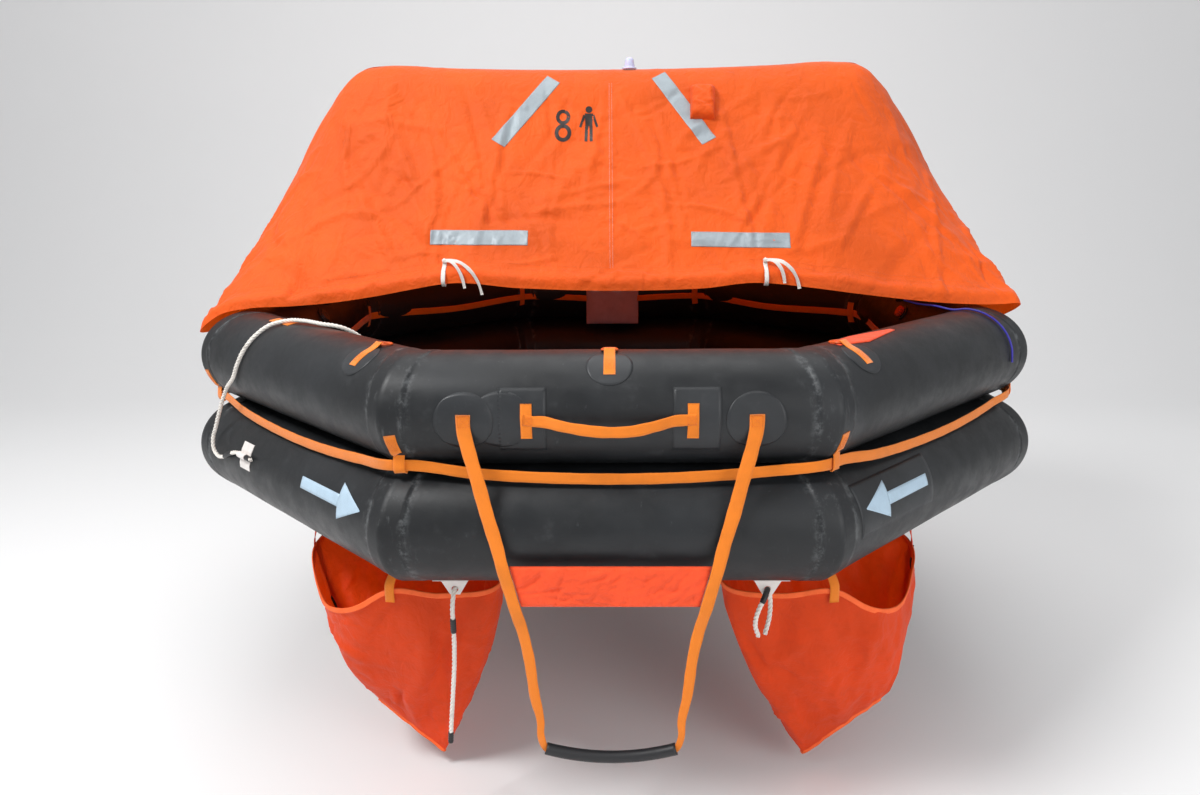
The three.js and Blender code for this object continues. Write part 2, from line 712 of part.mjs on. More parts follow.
const HEM_FIRST = 6;
const HEM_LAST = FRONT_GRID.length - 1 - HEM_FIRST;

// The folded edge of a front column: its lowest point, where the roll lies and the two directions.
function hemAt(column) {
  const [fold, bulge, edge] = column.slice(-3);
  const middle = fold.clone().lerp(edge, 0.5);
  const out = bulge.clone().sub(middle).normalize();
  const down = edge.clone().sub(fold).normalize();
  const lean = Math.atan2(HEM_BULGE, edge.distanceTo(fold) / 2);
  const inset = (CLOTH_THICKNESS + SOFT_GAP + FLAP_ROLL_RADIUS) / Math.cos(lean) + SOFT_GAP;
  return { fold, bulge, edge, out, down, roll: bulge.clone().addScaledVector(out, -inset) };
}

function rollSection(column) {
  const { out, down, roll } = hemAt(column);
  const sides = 10;
  return Array.from({ length: sides }, (_, i) => {
    const angle = 2 * Math.PI * i / sides;
    return roll.clone()
      .addScaledVector(out, FLAP_ROLL_RADIUS * Math.cos(angle))
      .addScaledVector(down, FLAP_ROLL_RADIUS * Math.sin(angle));
  });
}
add('door_flap_roll', loft(FRONT_GRID.slice(HEM_FIRST, HEM_LAST + 1).map(rollSection)), canopyCloth);

// The hem between two columns, at a given x.
function hemAtX(x) {
  const index = FRONT_GRID.findIndex((column) => column.at(-1).x > x);
  const [before, after] = [FRONT_GRID[index - 1], FRONT_GRID[index]];
  const share = (x - before.at(-1).x) / (after.at(-1).x - before.at(-1).x);
  return hemAt(before.map((p, j) => p.clone().lerp(after[j], share)));
}

function doorTie(x, reach, fall) {
  const { fold, bulge, edge, out, down, roll } = hemAtX(x);
  const clear = TIE_THICKNESS / 2 + SOFT_GAP;
  const off = (p, o, d) => p.clone().addScaledVector(out, o).addScaledVector(down, d);
  const around = [205, 180, 155, 130, 108].map((degrees) => {
    const [o, d] = [Math.cos(radians(degrees)), Math.sin(radians(degrees))];
    const facing = V(0, 0, 0).addScaledVector(out, o).addScaledVector(down, d);
    const reached = FLAP_ROLL_RADIUS + clear + 0.8;
    return [off(roll, o * reached, d * reached), facing, TIE_WIDTH];
  });
  const loop = [
    ...around,
    [off(edge, -6, 5), down.clone(), TIE_WIDTH],
    [off(edge, 4, 3), down.clone().lerp(out, 0.5), TIE_WIDTH],
    [off(bulge, clear + 0.8, 0), out, TIE_WIDTH],
    [off(fold, clear + 1.6, 0), out, TIE_WIDTH],
    [off(fold, clear + 2.6, -9), out, TIE_WIDTH],
  ];
  const knotAt = off(fold, 9.4, -8);
  const hang = [
    [0, 0, 0],
    [0.18, 10, -0.02],
    [0.45, 26, 0.03],
    [0.74, 34, 0.3],
    [0.92, 34, 0.66],
    [1, 33, 1],
  ];
  const tail = hang.map(([along, forward, drop]) => {
    const p = knotAt.clone().add(V(along * reach, -forward, -drop * fall));
    return [p, V(-0.45 * along, -0.9, 0.4 - 0.5 * drop), TIE_WIDTH - 2];
  });
  const knot = new THREE.SphereGeometry(7, 8, 5).translate(knotAt.x, knotAt.y, knotAt.z);
  const tapes = solid(strap(loop, TIE_THICKNESS)).add(solid(strap(tail, TIE_THICKNESS)));
  return geometryOf(tapes.add(solid(knot)));
}
add('door_tie_left', doorTie(-488, 112, 96), whiteTape);
add('door_tie_right', doorTie(452, 96, 80), whiteTape);

// Reflective tapes and the reflector sleeve, sewn on the front panel

const middleColumn = FRONT_GRID[(FRONT_GRID.length - 1) / 2];
const panelFall = middleColumn.at(-3).clone().sub(middleColumn[2]).normalize();
const PANEL_RISE = Math.abs(panelFall.z);               // upward share of a step up the panel

// A block seen from the entrance as a turned rectangle, through the whole front panel.
function panelPrism(x, z, length, width, degrees, corner = 0) {
  const tilt = radians(degrees);
  const reach = [[-1, -1], [1, -1], [1, 1], [-1, 1]];
  const points = reach.flatMap(([s, t]) => {
    const cut = corner ? [[corner, 0], [0, corner]] : [[0, 0]];
    const ordered = s * t < 0 ? cut : [...cut].reverse();
    return ordered.map(([cx, cy]) => [s * (length / 2 - cx), t * (width / 2 - cy)]);
  });
  const shape = new THREE.Shape(points.map(([u, v]) => new THREE.Vector2(
    x + u * Math.cos(tilt) - v * Math.sin(tilt),
    z + (u * Math.sin(tilt) + v * Math.cos(tilt)) * PANEL_RISE,
  )));
  const depth = 600;
  const geometry = new THREE.ExtrudeGeometry(shape, { depth, bevelEnabled: false });
  return solid(geometry.rotateX(Math.PI / 2));
}

const frontLayer = (outer, inner) => solid(clothWall(FRONT_GRID, outer, inner));
const tapeLayer = frontLayer(TOUCH_GAP + TAPE_THICKNESS, TOUCH_GAP);
const TAPES = [
  ['reflective_tape_upper_left', -266, 1130, 54.4],
  ['reflective_tape_upper_right', 230, 1136, -58.4],
  ['reflective_tape_lower_left', -393, 753, -0.8],
  ['reflective_tape_lower_right', 386, 742, -1.2],
];
for (const [name, x, z, degrees] of TAPES) {
  const outline = panelPrism(x, z, TAPE_LENGTH, TAPE_WIDTH, degrees);
  add(name, geometryOf(outline.intersect(tapeLayer)), greyTape);
}

function reflectorSleeve() {
  const back = TAPE_THICKNESS + 2 * TOUCH_GAP;
  const block = (inset, proud) => panelPrism(
    SLEEVE_X, SLEEVE_Z, SLEEVE_WIDTH - 2 * inset, SLEEVE_HEIGHT - 2 * inset, -2, 12,
  ).intersect(frontLayer(back + proud, back));
  return geometryOf(block(0, SLEEVE_PROUD * 0.6).add(block(9, SLEEVE_PROUD)));
}
add('radar_reflector_sleeve', reflectorSleeve(), canopyCloth);

// Ridge lamp, standing on the seam

function ridgeTopAt(x) {
  const index = ARCH.findIndex((p) => p.x > x);
  const share = (x - ARCH[index - 1].x) / (ARCH[index].x - ARCH[index - 1].x);
  return lerp(ARCH[index - 1].z, ARCH[index].z, share) + CANOPY_RADIUS;
}

function ridgeLamp() {
  const seat = Math.max(ridgeTopAt(LAMP_X - LAMP_FLANGE_RADIUS), ridgeTopAt(LAMP_X + LAMP_FLANGE_RADIUS));
  const profile = [
    [0, 0],
    [LAMP_FLANGE_RADIUS, 0],
    [LAMP_FLANGE_RADIUS, LAMP_FLANGE_HEIGHT],
    [LAMP_RADIUS, LAMP_FLANGE_HEIGHT + 2],
    [LAMP_RADIUS * 0.82, LAMP_HEIGHT - 8],
    [LAMP_RADIUS * 0.5, LAMP_HEIGHT - 1.5],
    [0, LAMP_HEIGHT],
  ];
  const geometry = new THREE.LatheGeometry(profile.map(([r, h]) => new THREE.Vector2(r, h)), 16);
  return geometry.rotateX(Math.PI / 2).translate(LAMP_X, 0, seat + TOUCH_GAP);
}
add('ridge_lamp', ridgeLamp(), lampPlastic);

// Clear document pouch, hung inside the upper tube at the rear

function documentPouch() {
  const wall = 2.5;
  const hang = onSection(UPPER_RADIUS + TOUCH_GAP, POUCH_TOP_ANGLE);
  const turn = -UPPER_RADIUS - 18;
  const profile = [
    hang,
    onSection(UPPER_RADIUS + TOUCH_GAP, POUCH_TOP_ANGLE + 5),
    [turn + wall, hang[1] - 24],
    [turn + wall, hang[1] - POUCH_HEIGHT],
    [turn - wall, hang[1] - POUCH_HEIGHT],
    [turn - wall, hang[1] - 22],
    onSection(UPPER_RADIUS + TOUCH_GAP + wall, POUCH_TOP_ANGLE),
  ];
  return alongTube(profile, UPPER, REAR, 0, POUCH_WIDTH);
}
add('document_pouch', documentPouch(), clearPlastic);

// Outer lifeline, threaded through a webbing tab beside every corner

// The same mitre line on every corner: measured back from it along the face that follows.
function besideCorner(profile, tube, face, setback, width, holes = []) {
  const shear = new THREE.Matrix4().set(
    1, 0, 0, 0,
    0, 1, 0, 0,
    Math.tan(HALF_TURN), 0, 1, -setback,
    0, 0, 0, 1,
  );
  const upright = alongTube(profile, tube, face, 0, width, holes);
  upright.applyMatrix4(facePlane(face).invert());
  return upright.applyMatrix4(shear).applyMatrix4(facePlane(face));
}

function frameProfile(x, z, width, height) {
  return [[-1, -1], [1, -1], [1, 1], [-1, 1]].map(([s, t]) => [x + s * width / 2, z + t * height / 2]);
}

function lifelineTab(face) {
  const seat = UPPER_RADIUS + TOUCH_GAP;
  const strip = wrapProfile(seat, -47, -14, WEBBING_THICKNESS);
  const slotDepth = WEBBING_THICKNESS + 2 * LIFELINE_SLOT_CLEARANCE;
  const slotHeight = LIFELINE_WIDTH + 2 * LIFELINE_SLOT_CLEARANCE;
  const wall = 2 * WEBBING_THICKNESS;
  const outer = frameProfile(LIFELINE_OUT, -LIFELINE_DROP, slotDepth + wall, slotHeight + wall);
  const slot = frameProfile(LIFELINE_OUT, -LIFELINE_DROP, slotDepth, slotHeight);
  const bonded = solid(besideCorner(strip, UPPER, face, LIFELINE_TAB_SETBACK, LIFELINE_TAB_WIDTH));
  const loop = solid(besideCorner(outer, UPPER, face, LIFELINE_TAB_SETBACK, LIFELINE_TAB_WIDTH, [slot]));
  return geometryOf(bonded.add(loop));
}

function outerLifeline() {
  const stations = [];
  const apothem = UPPER_APOTHEM + LIFELINE_OUT;
  const height = UPPER_Z - LIFELINE_DROP;
  const half = halfSide(apothem);
  for (let face = 0; face < SIDES; face += 1) {
    const point = (station, sag) => {
      const p = onFace(face, apothem + sag * LIFELINE_BULGE, station, height - sag * LIFELINE_SAG);
      stations.push([p, faceOut(face), LIFELINE_WIDTH]);
    };
    const tab = -half + LIFELINE_TAB_SETBACK;
    point(tab - LIFELINE_TAB_WIDTH / 2, 0);
    point(tab + LIFELINE_TAB_WIDTH / 2 + 2, 0);
    point(-half * 0.62, 0.62);
    point(-half * 0.2, 1);
    point(half * 0.3, 0.97);
    point(half * 0.72, 0.5);
  }
  return closedStrap(stations, WEBBING_THICKNESS);
}
add('outer_lifeline', outerLifeline(), webbing);
for (let face = 0; face < SIDES; face += 1) {
  add(`lifeline_tab_${face + 1}`, lifelineTab(face), webbing);
}

// Inner lifeline, with its bonded tabs, round the inside of the upper tube

function innerLifeline() {
  const seat = UPPER_RADIUS + TOUCH_GAP;
  const inner = (seat + WEBBING_THICKNESS) * FACET_COS + WEBBING_THICKNESS / 4;
  const apothem = UPPER_APOTHEM - inner;
  const half = halfSide(apothem);
  const stations = [];
  const tabs = [];
  for (let face = 0; face < SIDES; face += 1) {
    const point = (station, slack) => {
      const off = slack * INNER_LINE_SLACK;
      stations.push([
        onFace(face, apothem - off, station, INNER_LINE_Z - off),
        faceOut(face).negate(),
        LIFELINE_WIDTH,
      ]);
    };
    point(-half + 4, 0);
    point(-half + 2 * LIFELINE_TAB_SETBACK, 0);
    point(0, 1);
    point(half - 14, 0);
    const strip = wrapProfile(seat, 168, 202, WEBBING_THICKNESS);
    tabs.push(solid(besideCorner(strip, UPPER, face, LIFELINE_TAB_SETBACK, LIFELINE_TAB_WIDTH)));
  }
  const line = solid(closedStrap(stations, WEBBING_THICKNESS));
  return geometryOf(tabs.reduce((sum, tab) => sum.add(tab), line));
}
add('inner_lifeline', innerLifeline(), webbing);

// Grab handle on the front of the upper tube

const HANDLE_SEAT = (UPPER_RADIUS + TOUCH_GAP) * FACET_COS;
function handlePatch(station) {
  const seat = UPPER_RADIUS + TOUCH_GAP;
  const strip = wrapProfile(seat, -HANDLE_PATCH_ANGLE, HANDLE_PATCH_ANGLE, WEBBING_THICKNESS);
  return alongTube(strip, UPPER, FRONT, station, HANDLE_WIDTH);
}
add('grab_handle_patch_left', handlePatch(-HANDLE_HALF_SPAN), webbing);
add('grab_handle_patch_right', handlePatch(HANDLE_HALF_SPAN), webbing);

function grabHandle() {
  const end = HANDLE_HALF_SPAN - HANDLE_WIDTH / 2 - TOUCH_GAP;
  const flat = HANDLE_SEAT + WEBBING_THICKNESS / 2 + SOFT_GAP;
  const shape = [[-1, 0, 1], [-0.86, 0.1, 1], [-0.62, 0.5, -4], [-0.3, 0.9, -9], [0, 1, -12],
    [0.3, 0.96, -10], [0.6, 0.6, -3], [0.86, 0.12, 3], [1, 0, 3]];
  return strap(shape.map(([share, off, rise]) => [
    onFace(FRONT, UPPER_APOTHEM + flat + off * HANDLE_STANDOFF, share * end, UPPER_Z + rise),
    V(0, -1, 0.5 * off),
    HANDLE_WIDTH,
  ]), WEBBING_THICKNESS);
}
add('grab_handle', grabHandle(), webbing);

// Boarding ladder: one length of webbing through a hollow rung, with a padded step between its sides

const rungAxis = (x) => V(x, RUNG_Y, RUNG_Z - RUNG_BOW * (1 - (2 * x / RUNG_LENGTH) ** 2));
const RUNG_STATIONS = [-1, -0.6, -0.2, 0.2, 0.6, 1].map((share) => share * RUNG_LENGTH / 2);

// The left side of the webbing from the tube down: point, face direction and width.
function ladderSide() {
  const sewn = UPPER_APOTHEM + HANDLE_SEAT + LADDER_THICKNESS / 2 + TOUCH_GAP;
  const mouth = rungAxis(-RUNG_LENGTH / 2);
  const front = V(0, -1, 0);
  const outside = V(-1, 0, 0);
  const hung = (inward, share, z) => V(-LADDER_HALF_SPAN + inward, lerp(-sewn, STEP_Y, share), z);
  return [
    [hung(0, 0, UPPER_Z + 15), front, LADDER_WIDTH],
    [hung(0, 0, UPPER_Z - 14), front, LADDER_WIDTH],
    [hung(10, 0.15, UPPER_Z - 62), front, LADDER_WIDTH * 0.8],
    [hung(28, 0.4, UPPER_Z - 125), V(-0.4, -0.9, 0), LADDER_WIDTH * 0.85],
    [hung(48, 0.7, UPPER_Z - 200), V(-0.3, -1, 0), LADDER_WIDTH],
    [V(ladderX(STEP_TOP_Z + 34), STEP_Y + 1, STEP_TOP_Z + 34), front, LADDER_WIDTH],
    [V(ladderX(STEP_TOP_Z), STEP_Y, STEP_TOP_Z), front, LADDER_WIDTH * 0.94],
    [V(ladderX(STEP_BOTTOM_Z), STEP_Y, STEP_BOTTOM_Z), front, LADDER_WIDTH * 0.94],
    [V(ladderX(STEP_BOTTOM_Z - 90), RUNG_Y, STEP_BOTTOM_Z - 90), V(-0.5, -0.9, 0), LADDER_WIDTH * 0.85],
    [V(ladderX(STEP_BOTTOM_Z - 220), RUNG_Y, STEP_BOTTOM_Z - 220), V(-0.9, -0.5, 0), LADDER_WIDTH * 0.75],
    [V(mouth.x - 14, RUNG_Y, mouth.z + 52), outside, RUNG_WEBBING_WIDTH * 1.2],
    [V(mouth.x - 11, RUNG_Y, mouth.z + 22), outside, RUNG_WEBBING_WIDTH],
    [V(mouth.x - 6, RUNG_Y, mouth.z + 9), V(-1, 0, -1), RUNG_WEBBING_WIDTH],
  ];
}

const ladderX = (z) => -LADDER_HALF_SPAN + (STEP_LEAN_TOP - z) * STEP_LEAN;

function ladderWebbing() {
  const side = ladderSide();
  const bore = (RUNG_RADIUS - RUNG_WALL) * Math.cos(Math.PI / 12);
  const high = Math.sqrt(bore ** 2 - (RUNG_WEBBING_WIDTH / 2) ** 2) - LADDER_THICKNESS / 2 - SOFT_GAP;
  const through = RUNG_STATIONS.map((x) => [
    rungAxis(x).add(V(0, 0, high)),
    V(0, 0, -1),
    RUNG_WEBBING_WIDTH,
  ]);
  const opposite = side.map(([p, face, width]) => [
    V(-p.x, p.y, p.z),
    V(-face.x, face.y, face.z),
    width,
  ]).reverse();
  return strap([...side, ...through, ...opposite], LADDER_THICKNESS);
}
add('ladder_webbing', ladderWebbing(), webbing);

function rungSections(radius, overrun) {
  const slope = 4 * RUNG_BOW / RUNG_LENGTH;
  return RUNG_STATIONS.map((x) => {
    const past = Math.abs(x) > RUNG_LENGTH / 2 - 1 ? Math.sign(x) * overrun : 0;
    const centre = rungAxis(x).add(V(past, 0, Math.abs(past) * slope));
    return Array.from({ length: 12 }, (_, i) => {
      const angle = (i + 0.5) * Math.PI / 6;
      return centre.clone().add(V(0, radius * Math.sin(angle), radius * Math.cos(angle)));
    });
  });
}
const rungBody = solid(loft(rungSections(RUNG_RADIUS, 0)));
const rungBore = solid(loft(rungSections(RUNG_RADIUS - RUNG_WALL, 5)));
add('ladder_rung', geometryOf(rungBody.subtract(rungBore)), blackRubber);

function ladderStep() {
  const middle = (STEP_TOP_Z + STEP_BOTTOM_Z) / 2;
  const half = (STEP_TOP_Z - STEP_BOTTOM_Z) / 2 - 4;
  const section = (share) => {
    const full = STEP_THICKNESS / 2 * (1 - 0.75 * share ** 6);
    const outline = [[0.5, 1], [1, 0.6], [1, -0.6], [0.5, -1], [-0.5, -1], [-1, -0.6], [-1, 0.6], [-0.5, 1]];
    return outline.map(([t, s]) => {
      const z = middle + s * half;
      const reach = -ladderX(z) - LADDER_WIDTH * 0.47 - SOFT_GAP;
      return V(share * reach, STEP_Y - t * full, z);
    });
  };
  return loft([-1, -0.86, -0.45, 0, 0.45, 0.86, 1].map(section));
}
add('ladder_step', ladderStep(), bagCloth);

// Closing rings: D-rings that turn in the sleeve of a webbing tab

const RING_SEAT_ANGLE = 82.5;
const RING_WIRE_RADIUS = RING_WIRE / 2;
const SLEEVE_BORE = RING_WIRE_RADIUS + RING_BAR_CLEARANCE;
const SLEEVE_OUTER = SLEEVE_BORE + RING_SLEEVE_WALL;
const RING_AXIS_REACH = UPPER_RADIUS + TOUCH_GAP + SLEEVE_OUTER;
const RING_AXIS = [
  RING_AXIS_REACH * Math.cos(radians(RING_SEAT_ANGLE)),
  RING_AXIS_REACH * Math.sin(radians(RING_SEAT_ANGLE)),
];

function closingTab(face, station) {
  const high = RING_SEAT_ANGLE - 1;
  const strip = wrapProfile(UPPER_RADIUS + TOUCH_GAP, CLOSING_TAB_LOW, high, WEBBING_THICKNESS);
  const circle = (radius, sides) => Array.from({ length: sides }, (_, i) => {
    const angle = 2 * Math.PI * (i + 0.5) / sides;
    return [RING_AXIS[0] + radius * Math.cos(angle), RING_AXIS[1] + radius * Math.sin(angle)];
  });
  const bonded = solid(alongTube(strip, UPPER, face, station, CLOSING_TAB_WIDTH));
  const sleeve = solid(alongTube(circle(SLEEVE_OUTER, 12), UPPER, face, station, CLOSING_TAB_WIDTH));
  const bore = solid(alongTube(circle(SLEEVE_BORE / Math.cos(Math.PI / 12), 12), UPPER, face, station,
    CLOSING_TAB_WIDTH + 2));
  return geometryOf(bonded.add(sleeve).subtract(bore));
}

// A D-ring lying inward on top of the tube, its bar along the tube.
function closingRing(face, station) {
  const restOn = UPPER_RADIUS * FACET_COS + RING_WIRE_RADIUS + TOUCH_GAP;
  const dip = Math.asin((RING_AXIS[1] - restOn) / RING_REACH);
  const place = (along, reach) => onFace(
    face,
    UPPER_APOTHEM + RING_AXIS[0] - reach * Math.cos(dip),
    station + along,
    UPPER_Z + RING_AXIS[1] - reach * Math.sin(dip),
  );
  const bend = 3.6;
  const path = [[-RING_HALF_WIDTH + bend, 0], [RING_HALF_WIDTH - bend, 0], [RING_HALF_WIDTH, bend * 0.7]];
  const arcSteps = 6;
  const bow = RING_REACH - RING_HALF_WIDTH;
  for (let i = 0; i <= arcSteps; i += 1) {
    const angle = Math.PI * i / arcSteps;
    path.push([RING_HALF_WIDTH * Math.cos(angle), bow + RING_HALF_WIDTH * Math.sin(angle)]);
  }
  path.push([-RING_HALF_WIDTH, bend * 0.7]);
  const centres = path.map(([along, reach]) => place(along, reach));
  const normal = place(0, 0).sub(place(0, 1)).cross(faceAlong(face)).normalize();
  const sides = 8;
  const sections = centres.map((p, i) => {
    const ahead = centres[(i + 1) % centres.length].clone().sub(p).normalize();
    const behind = p.clone().sub(centres[(i + centres.length - 1) % centres.length]).normalize();
    const run = ahead.add(behind).normalize();
    const side = new THREE.Vector3().crossVectors(run, normal).normalize();
    return Array.from({ length: sides }, (_, j) => {
      const angle = 2 * Math.PI * (j + 0.5) / sides;
      return p.clone()
        .addScaledVector(side, RING_WIRE_RADIUS * Math.cos(angle))
        .addScaledVector(normal, RING_WIRE_RADIUS * Math.sin(angle));
    });
  });
  return loft(sections, true);
}

const CLOSING_POINTS = [
  ['left', FRONT_LEFT, halfSide(UPPER_APOTHEM) - CLOSING_TAB_SETBACK],
  ['middle', FRONT, 0],
  ['right', FRONT_RIGHT, -halfSide(UPPER_APOTHEM) + CLOSING_TAB_SETBACK],
];
for (const [where, face, station] of CLOSING_POINTS) {
  add(`closing_tab_${where}`, closingTab(face, station), webbing);
  add(`closing_ring_${where}`, closingRing(face, station), steel);
}

// Painter: its becket patch, the stretch over the tubes and the coil on the floor

const PAINTER_FACE = FRONT_LEFT;
const BECKET_BORE = ROPE_RADIUS + TOUCH_GAP + SOFT_GAP;
const BECKET_REACH = LOWER_RADIUS + TOUCH_GAP + BECKET_BORE + WEBBING_THICKNESS;
const BECKET_ANGLE = 17;
const BECKET_STATION = -195;
const aroundTube = (tube, station, degrees, off) => onFace(
  PAINTER_FACE,
  tube.apothem + (tube.radius + off) * Math.cos(radians(degrees)),
  station,
  tube.z + (tube.radius + off) * Math.sin(radians(degrees)),
);

function painterPatch() {
  const strip = wrapProfile(LOWER_RADIUS + TOUCH_GAP, 2, 32, WEBBING_THICKNESS);
  const centre = [
    BECKET_REACH * Math.cos(radians(BECKET_ANGLE)),
    BECKET_REACH * Math.sin(radians(BECKET_ANGLE)),
  ];
  const circle = (radius) => Array.from({ length: 12 }, (_, i) => {
    const angle = 2 * Math.PI * i / 12;
    return [centre[0] + radius * Math.cos(angle), centre[1] + radius * Math.sin(angle)];
  });
  const width = 46;
  const bonded = solid(alongTube(strip, LOWER, PAINTER_FACE, BECKET_STATION, width + 16));
  const loop = solid(alongTube(circle(BECKET_BORE + 1.2 * WEBBING_THICKNESS), LOWER, PAINTER_FACE,
    BECKET_STATION, width));
  const bore = solid(alongTube(circle(BECKET_BORE / Math.cos(Math.PI / 12)), LOWER, PAINTER_FACE,
    BECKET_STATION, width + 20));
  return geometryOf(bonded.add(loop).subtract(bore));
}
add('painter_patch', painterPatch(), whiteTape);

const FLOOR_REST = FLOOR_THICKNESS + TOUCH_GAP;
const PAINTER_ROUTE = [
  onFace(PAINTER_FACE, 862, 96, FLOOR_REST + COIL_HEIGHT + ROPE_RADIUS + 3),
  onFace(PAINTER_FACE, 900, 70, FLOOR_REST + COIL_HEIGHT + ROPE_RADIUS + 4),
  onFace(PAINTER_FACE, 922, 52, FLOOR_REST + COIL_HEIGHT + ROPE_RADIUS + 26),
  onFace(PAINTER_FACE, 926, 46, 160),
  onFace(PAINTER_FACE, 924, 44, 240),
  onFace(PAINTER_FACE, 924, 42, 330),
  onFace(PAINTER_FACE, 926, 40, 405),
  aroundTube(UPPER, 36, 160, ROPE_RADIUS + 3),
  aroundTube(UPPER, 30, 135, ROPE_RADIUS + 2.4),
  aroundTube(UPPER, 18, 112, ROPE_RADIUS + 2.4),
  aroundTube(UPPER, -24, 98, ROPE_RADIUS + 2),
  aroundTube(UPPER, -90, 91, ROPE_RADIUS + 4),
  aroundTube(UPPER, -146, 83, ROPE_RADIUS + 2),
  aroundTube(UPPER, -178, 66, ROPE_RADIUS + 1),
  aroundTube(UPPER, -190, 46, ROPE_RADIUS + 1),
  aroundTube(UPPER, -206, 27, ROPE_RADIUS + 1),
  aroundTube(UPPER, -230, 8, ROPE_RADIUS + 1),
  aroundTube(UPPER, -262, -9, ROPE_RADIUS + 4),
  onFace(PAINTER_FACE, 1226, -300, 362),
  onFace(PAINTER_FACE, 1232, -334, 316),
  onFace(PAINTER_FACE, 1238, -360, 268),
  onFace(PAINTER_FACE, 1243, -380, 228),
  aroundTube(LOWER, -392, 22, 17),
  aroundTube(LOWER, -386, 10, 13),
  aroundTube(LOWER, -358, 4, 11),
  aroundTube(LOWER, -318, 6, 10),
  aroundTube(LOWER, -276, 13, 10),
  aroundTube(LOWER, -240, BECKET_ANGLE, BECKET_REACH - LOWER_RADIUS),
  aroundTube(LOWER, BECKET_STATION, BECKET_ANGLE, BECKET_REACH - LOWER_RADIUS),
  aroundTube(LOWER, -142, BECKET_ANGLE, BECKET_REACH - LOWER_RADIUS),
];
add('painter_rope', cord(PAINTER_ROUTE, ROPE_DIAMETER, 48), rope);

function painterCoil() {
  const inner = COIL_MID_RADIUS - COIL_WIDTH / 2;
  const outer = COIL_MID_RADIUS + COIL_WIDTH / 2;
  const profile = [[inner, 0], [outer, 0], [outer, COIL_HEIGHT], [inner, COIL_HEIGHT], [inner, 0]];
  const geometry = new THREE.LatheGeometry(profile.map(([r, h]) => new THREE.Vector2(r, h)), 24);
  return geometry.rotateX(Math.PI / 2).translate(COIL_X, COIL_Y, FLOOR_REST);
}
add('painter_coil', painterCoil(), rope);

// Towing patches under the front tube, with the drogue line and a towing loop

const TOW_HOLE_Z = -TOW_TONGUE_LENGTH + 14;
function towPatch(x) {
  const strip = wrapProfile(LOWER_RADIUS + TOUCH_GAP, -112, -68, WEBBING_THICKNESS);
  const bonded = solid(alongTube(strip, LOWER, FRONT, x, TOW_PATCH_WIDTH));
  const top = LOWER_Z - (LOWER_RADIUS + TOUCH_GAP + WEBBING_THICKNESS / 2) * FACET_COS;
  const tongue = new THREE.Shape([
    new THREE.Vector2(x - TOW_PATCH_WIDTH / 2, top),
    new THREE.Vector2(x - 12, -TOW_TONGUE_LENGTH),
    new THREE.Vector2(x + 12, -TOW_TONGUE_LENGTH),
    new THREE.Vector2(x + TOW_PATCH_WIDTH / 2, top),
  ]);
  const eye = new THREE.Path().absarc(x, TOW_HOLE_Z, ROPE_RADIUS + 2.4, 0, 2 * Math.PI).getSpacedPoints(12);
  tongue.holes.push(new THREE.Path(eye.slice(0, 12)));
  const plate = new THREE.ExtrudeGeometry(tongue, { depth: WEBBING_THICKNESS, bevelEnabled: false });
  plate.rotateX(Math.PI / 2).translate(0, -LOWER_APOTHEM + WEBBING_THICKNESS / 2, 0);
  return geometryOf(bonded.add(solid(plate)));
}
add('tow_patch_left', towPatch(-TOW_X), whiteTape);
add('tow_patch_right', towPatch(TOW_X), whiteTape);

const DROGUE_ROUTE = [
  V(-377, -1080, TOW_HOLE_Z - 4),
  V(-377, -1100, TOW_HOLE_Z),
  V(-378, -1118, TOW_HOLE_Z - 8),
  V(-380, -1127, TOW_HOLE_Z - 32),
  V(-381, -1124, -118),
  V(-383, -1114, -170),
  V(-387, -1107, -236),
  V(-394, -1103, -310),
  V(-402, -1101, -390),
  V(-408, -1100, -462),
];
add('drogue_line', cord(DROGUE_ROUTE, ROPE_DIAMETER, 16), rope);

const TOW_LOOP_ROUTE = [
  V(357, -1114, -156),
  V(347, -1121, -122),
  V(352, -1127, -82),
  V(367, -1121, -50),
  V(377, -1101, TOW_HOLE_Z),
  V(384, -1082, -50),
  V(389, -1077, -82),
  V(386, -1088, -122),
  V(374, -1104, -156),
];
add('tow_rope_loop', cord(TOW_LOOP_ROUTE, ROPE_DIAMETER, 16), rope);

// Ballast bags: open-mouthed cloth pockets under the tubes, each hung by two straps

// Rim points of the left front bag, anticlockwise from its outer front corner, with the place of
// each along the bottom seam and the side of that seam it comes down to.
const BAG_RIM = [
  [V(-742, -950, -160), 0, -1],
  [V(-655, -1010, -132), 0.2, -1],
  [V(-560, -1012, -82), 0.45, -1],
  [V(-440, -1000, -100), 0.75, -1],
  [V(-300, -960, -98), 1, -1],
  [V(-312, -780, -30), 1, 1],
  [V(-360, -610, -SOFT_GAP), 0.9, 1],
  [V(-500, -530, -SOFT_GAP), 0.7, 1],
  [V(-640, -540, -SOFT_GAP), 0.45, 1],
  [V(-770, -600, -38), 0.2, 1],
  [V(-852, -700, -92), 0.05, 1],
  [V(-815, -830, -132), 0, -0.3],
];
const BAG_LEFT_SEAM = [V(-650, -870, -480), V(-470, -890, -628)];
const BAG_RIGHT_SEAM = [V(-738, -880, -470), V(-530, -890, -632)];
const BAG_SEAM_HALF = 9;
const BAG_ROWS = 3;
const BAG_BULGE = 26;

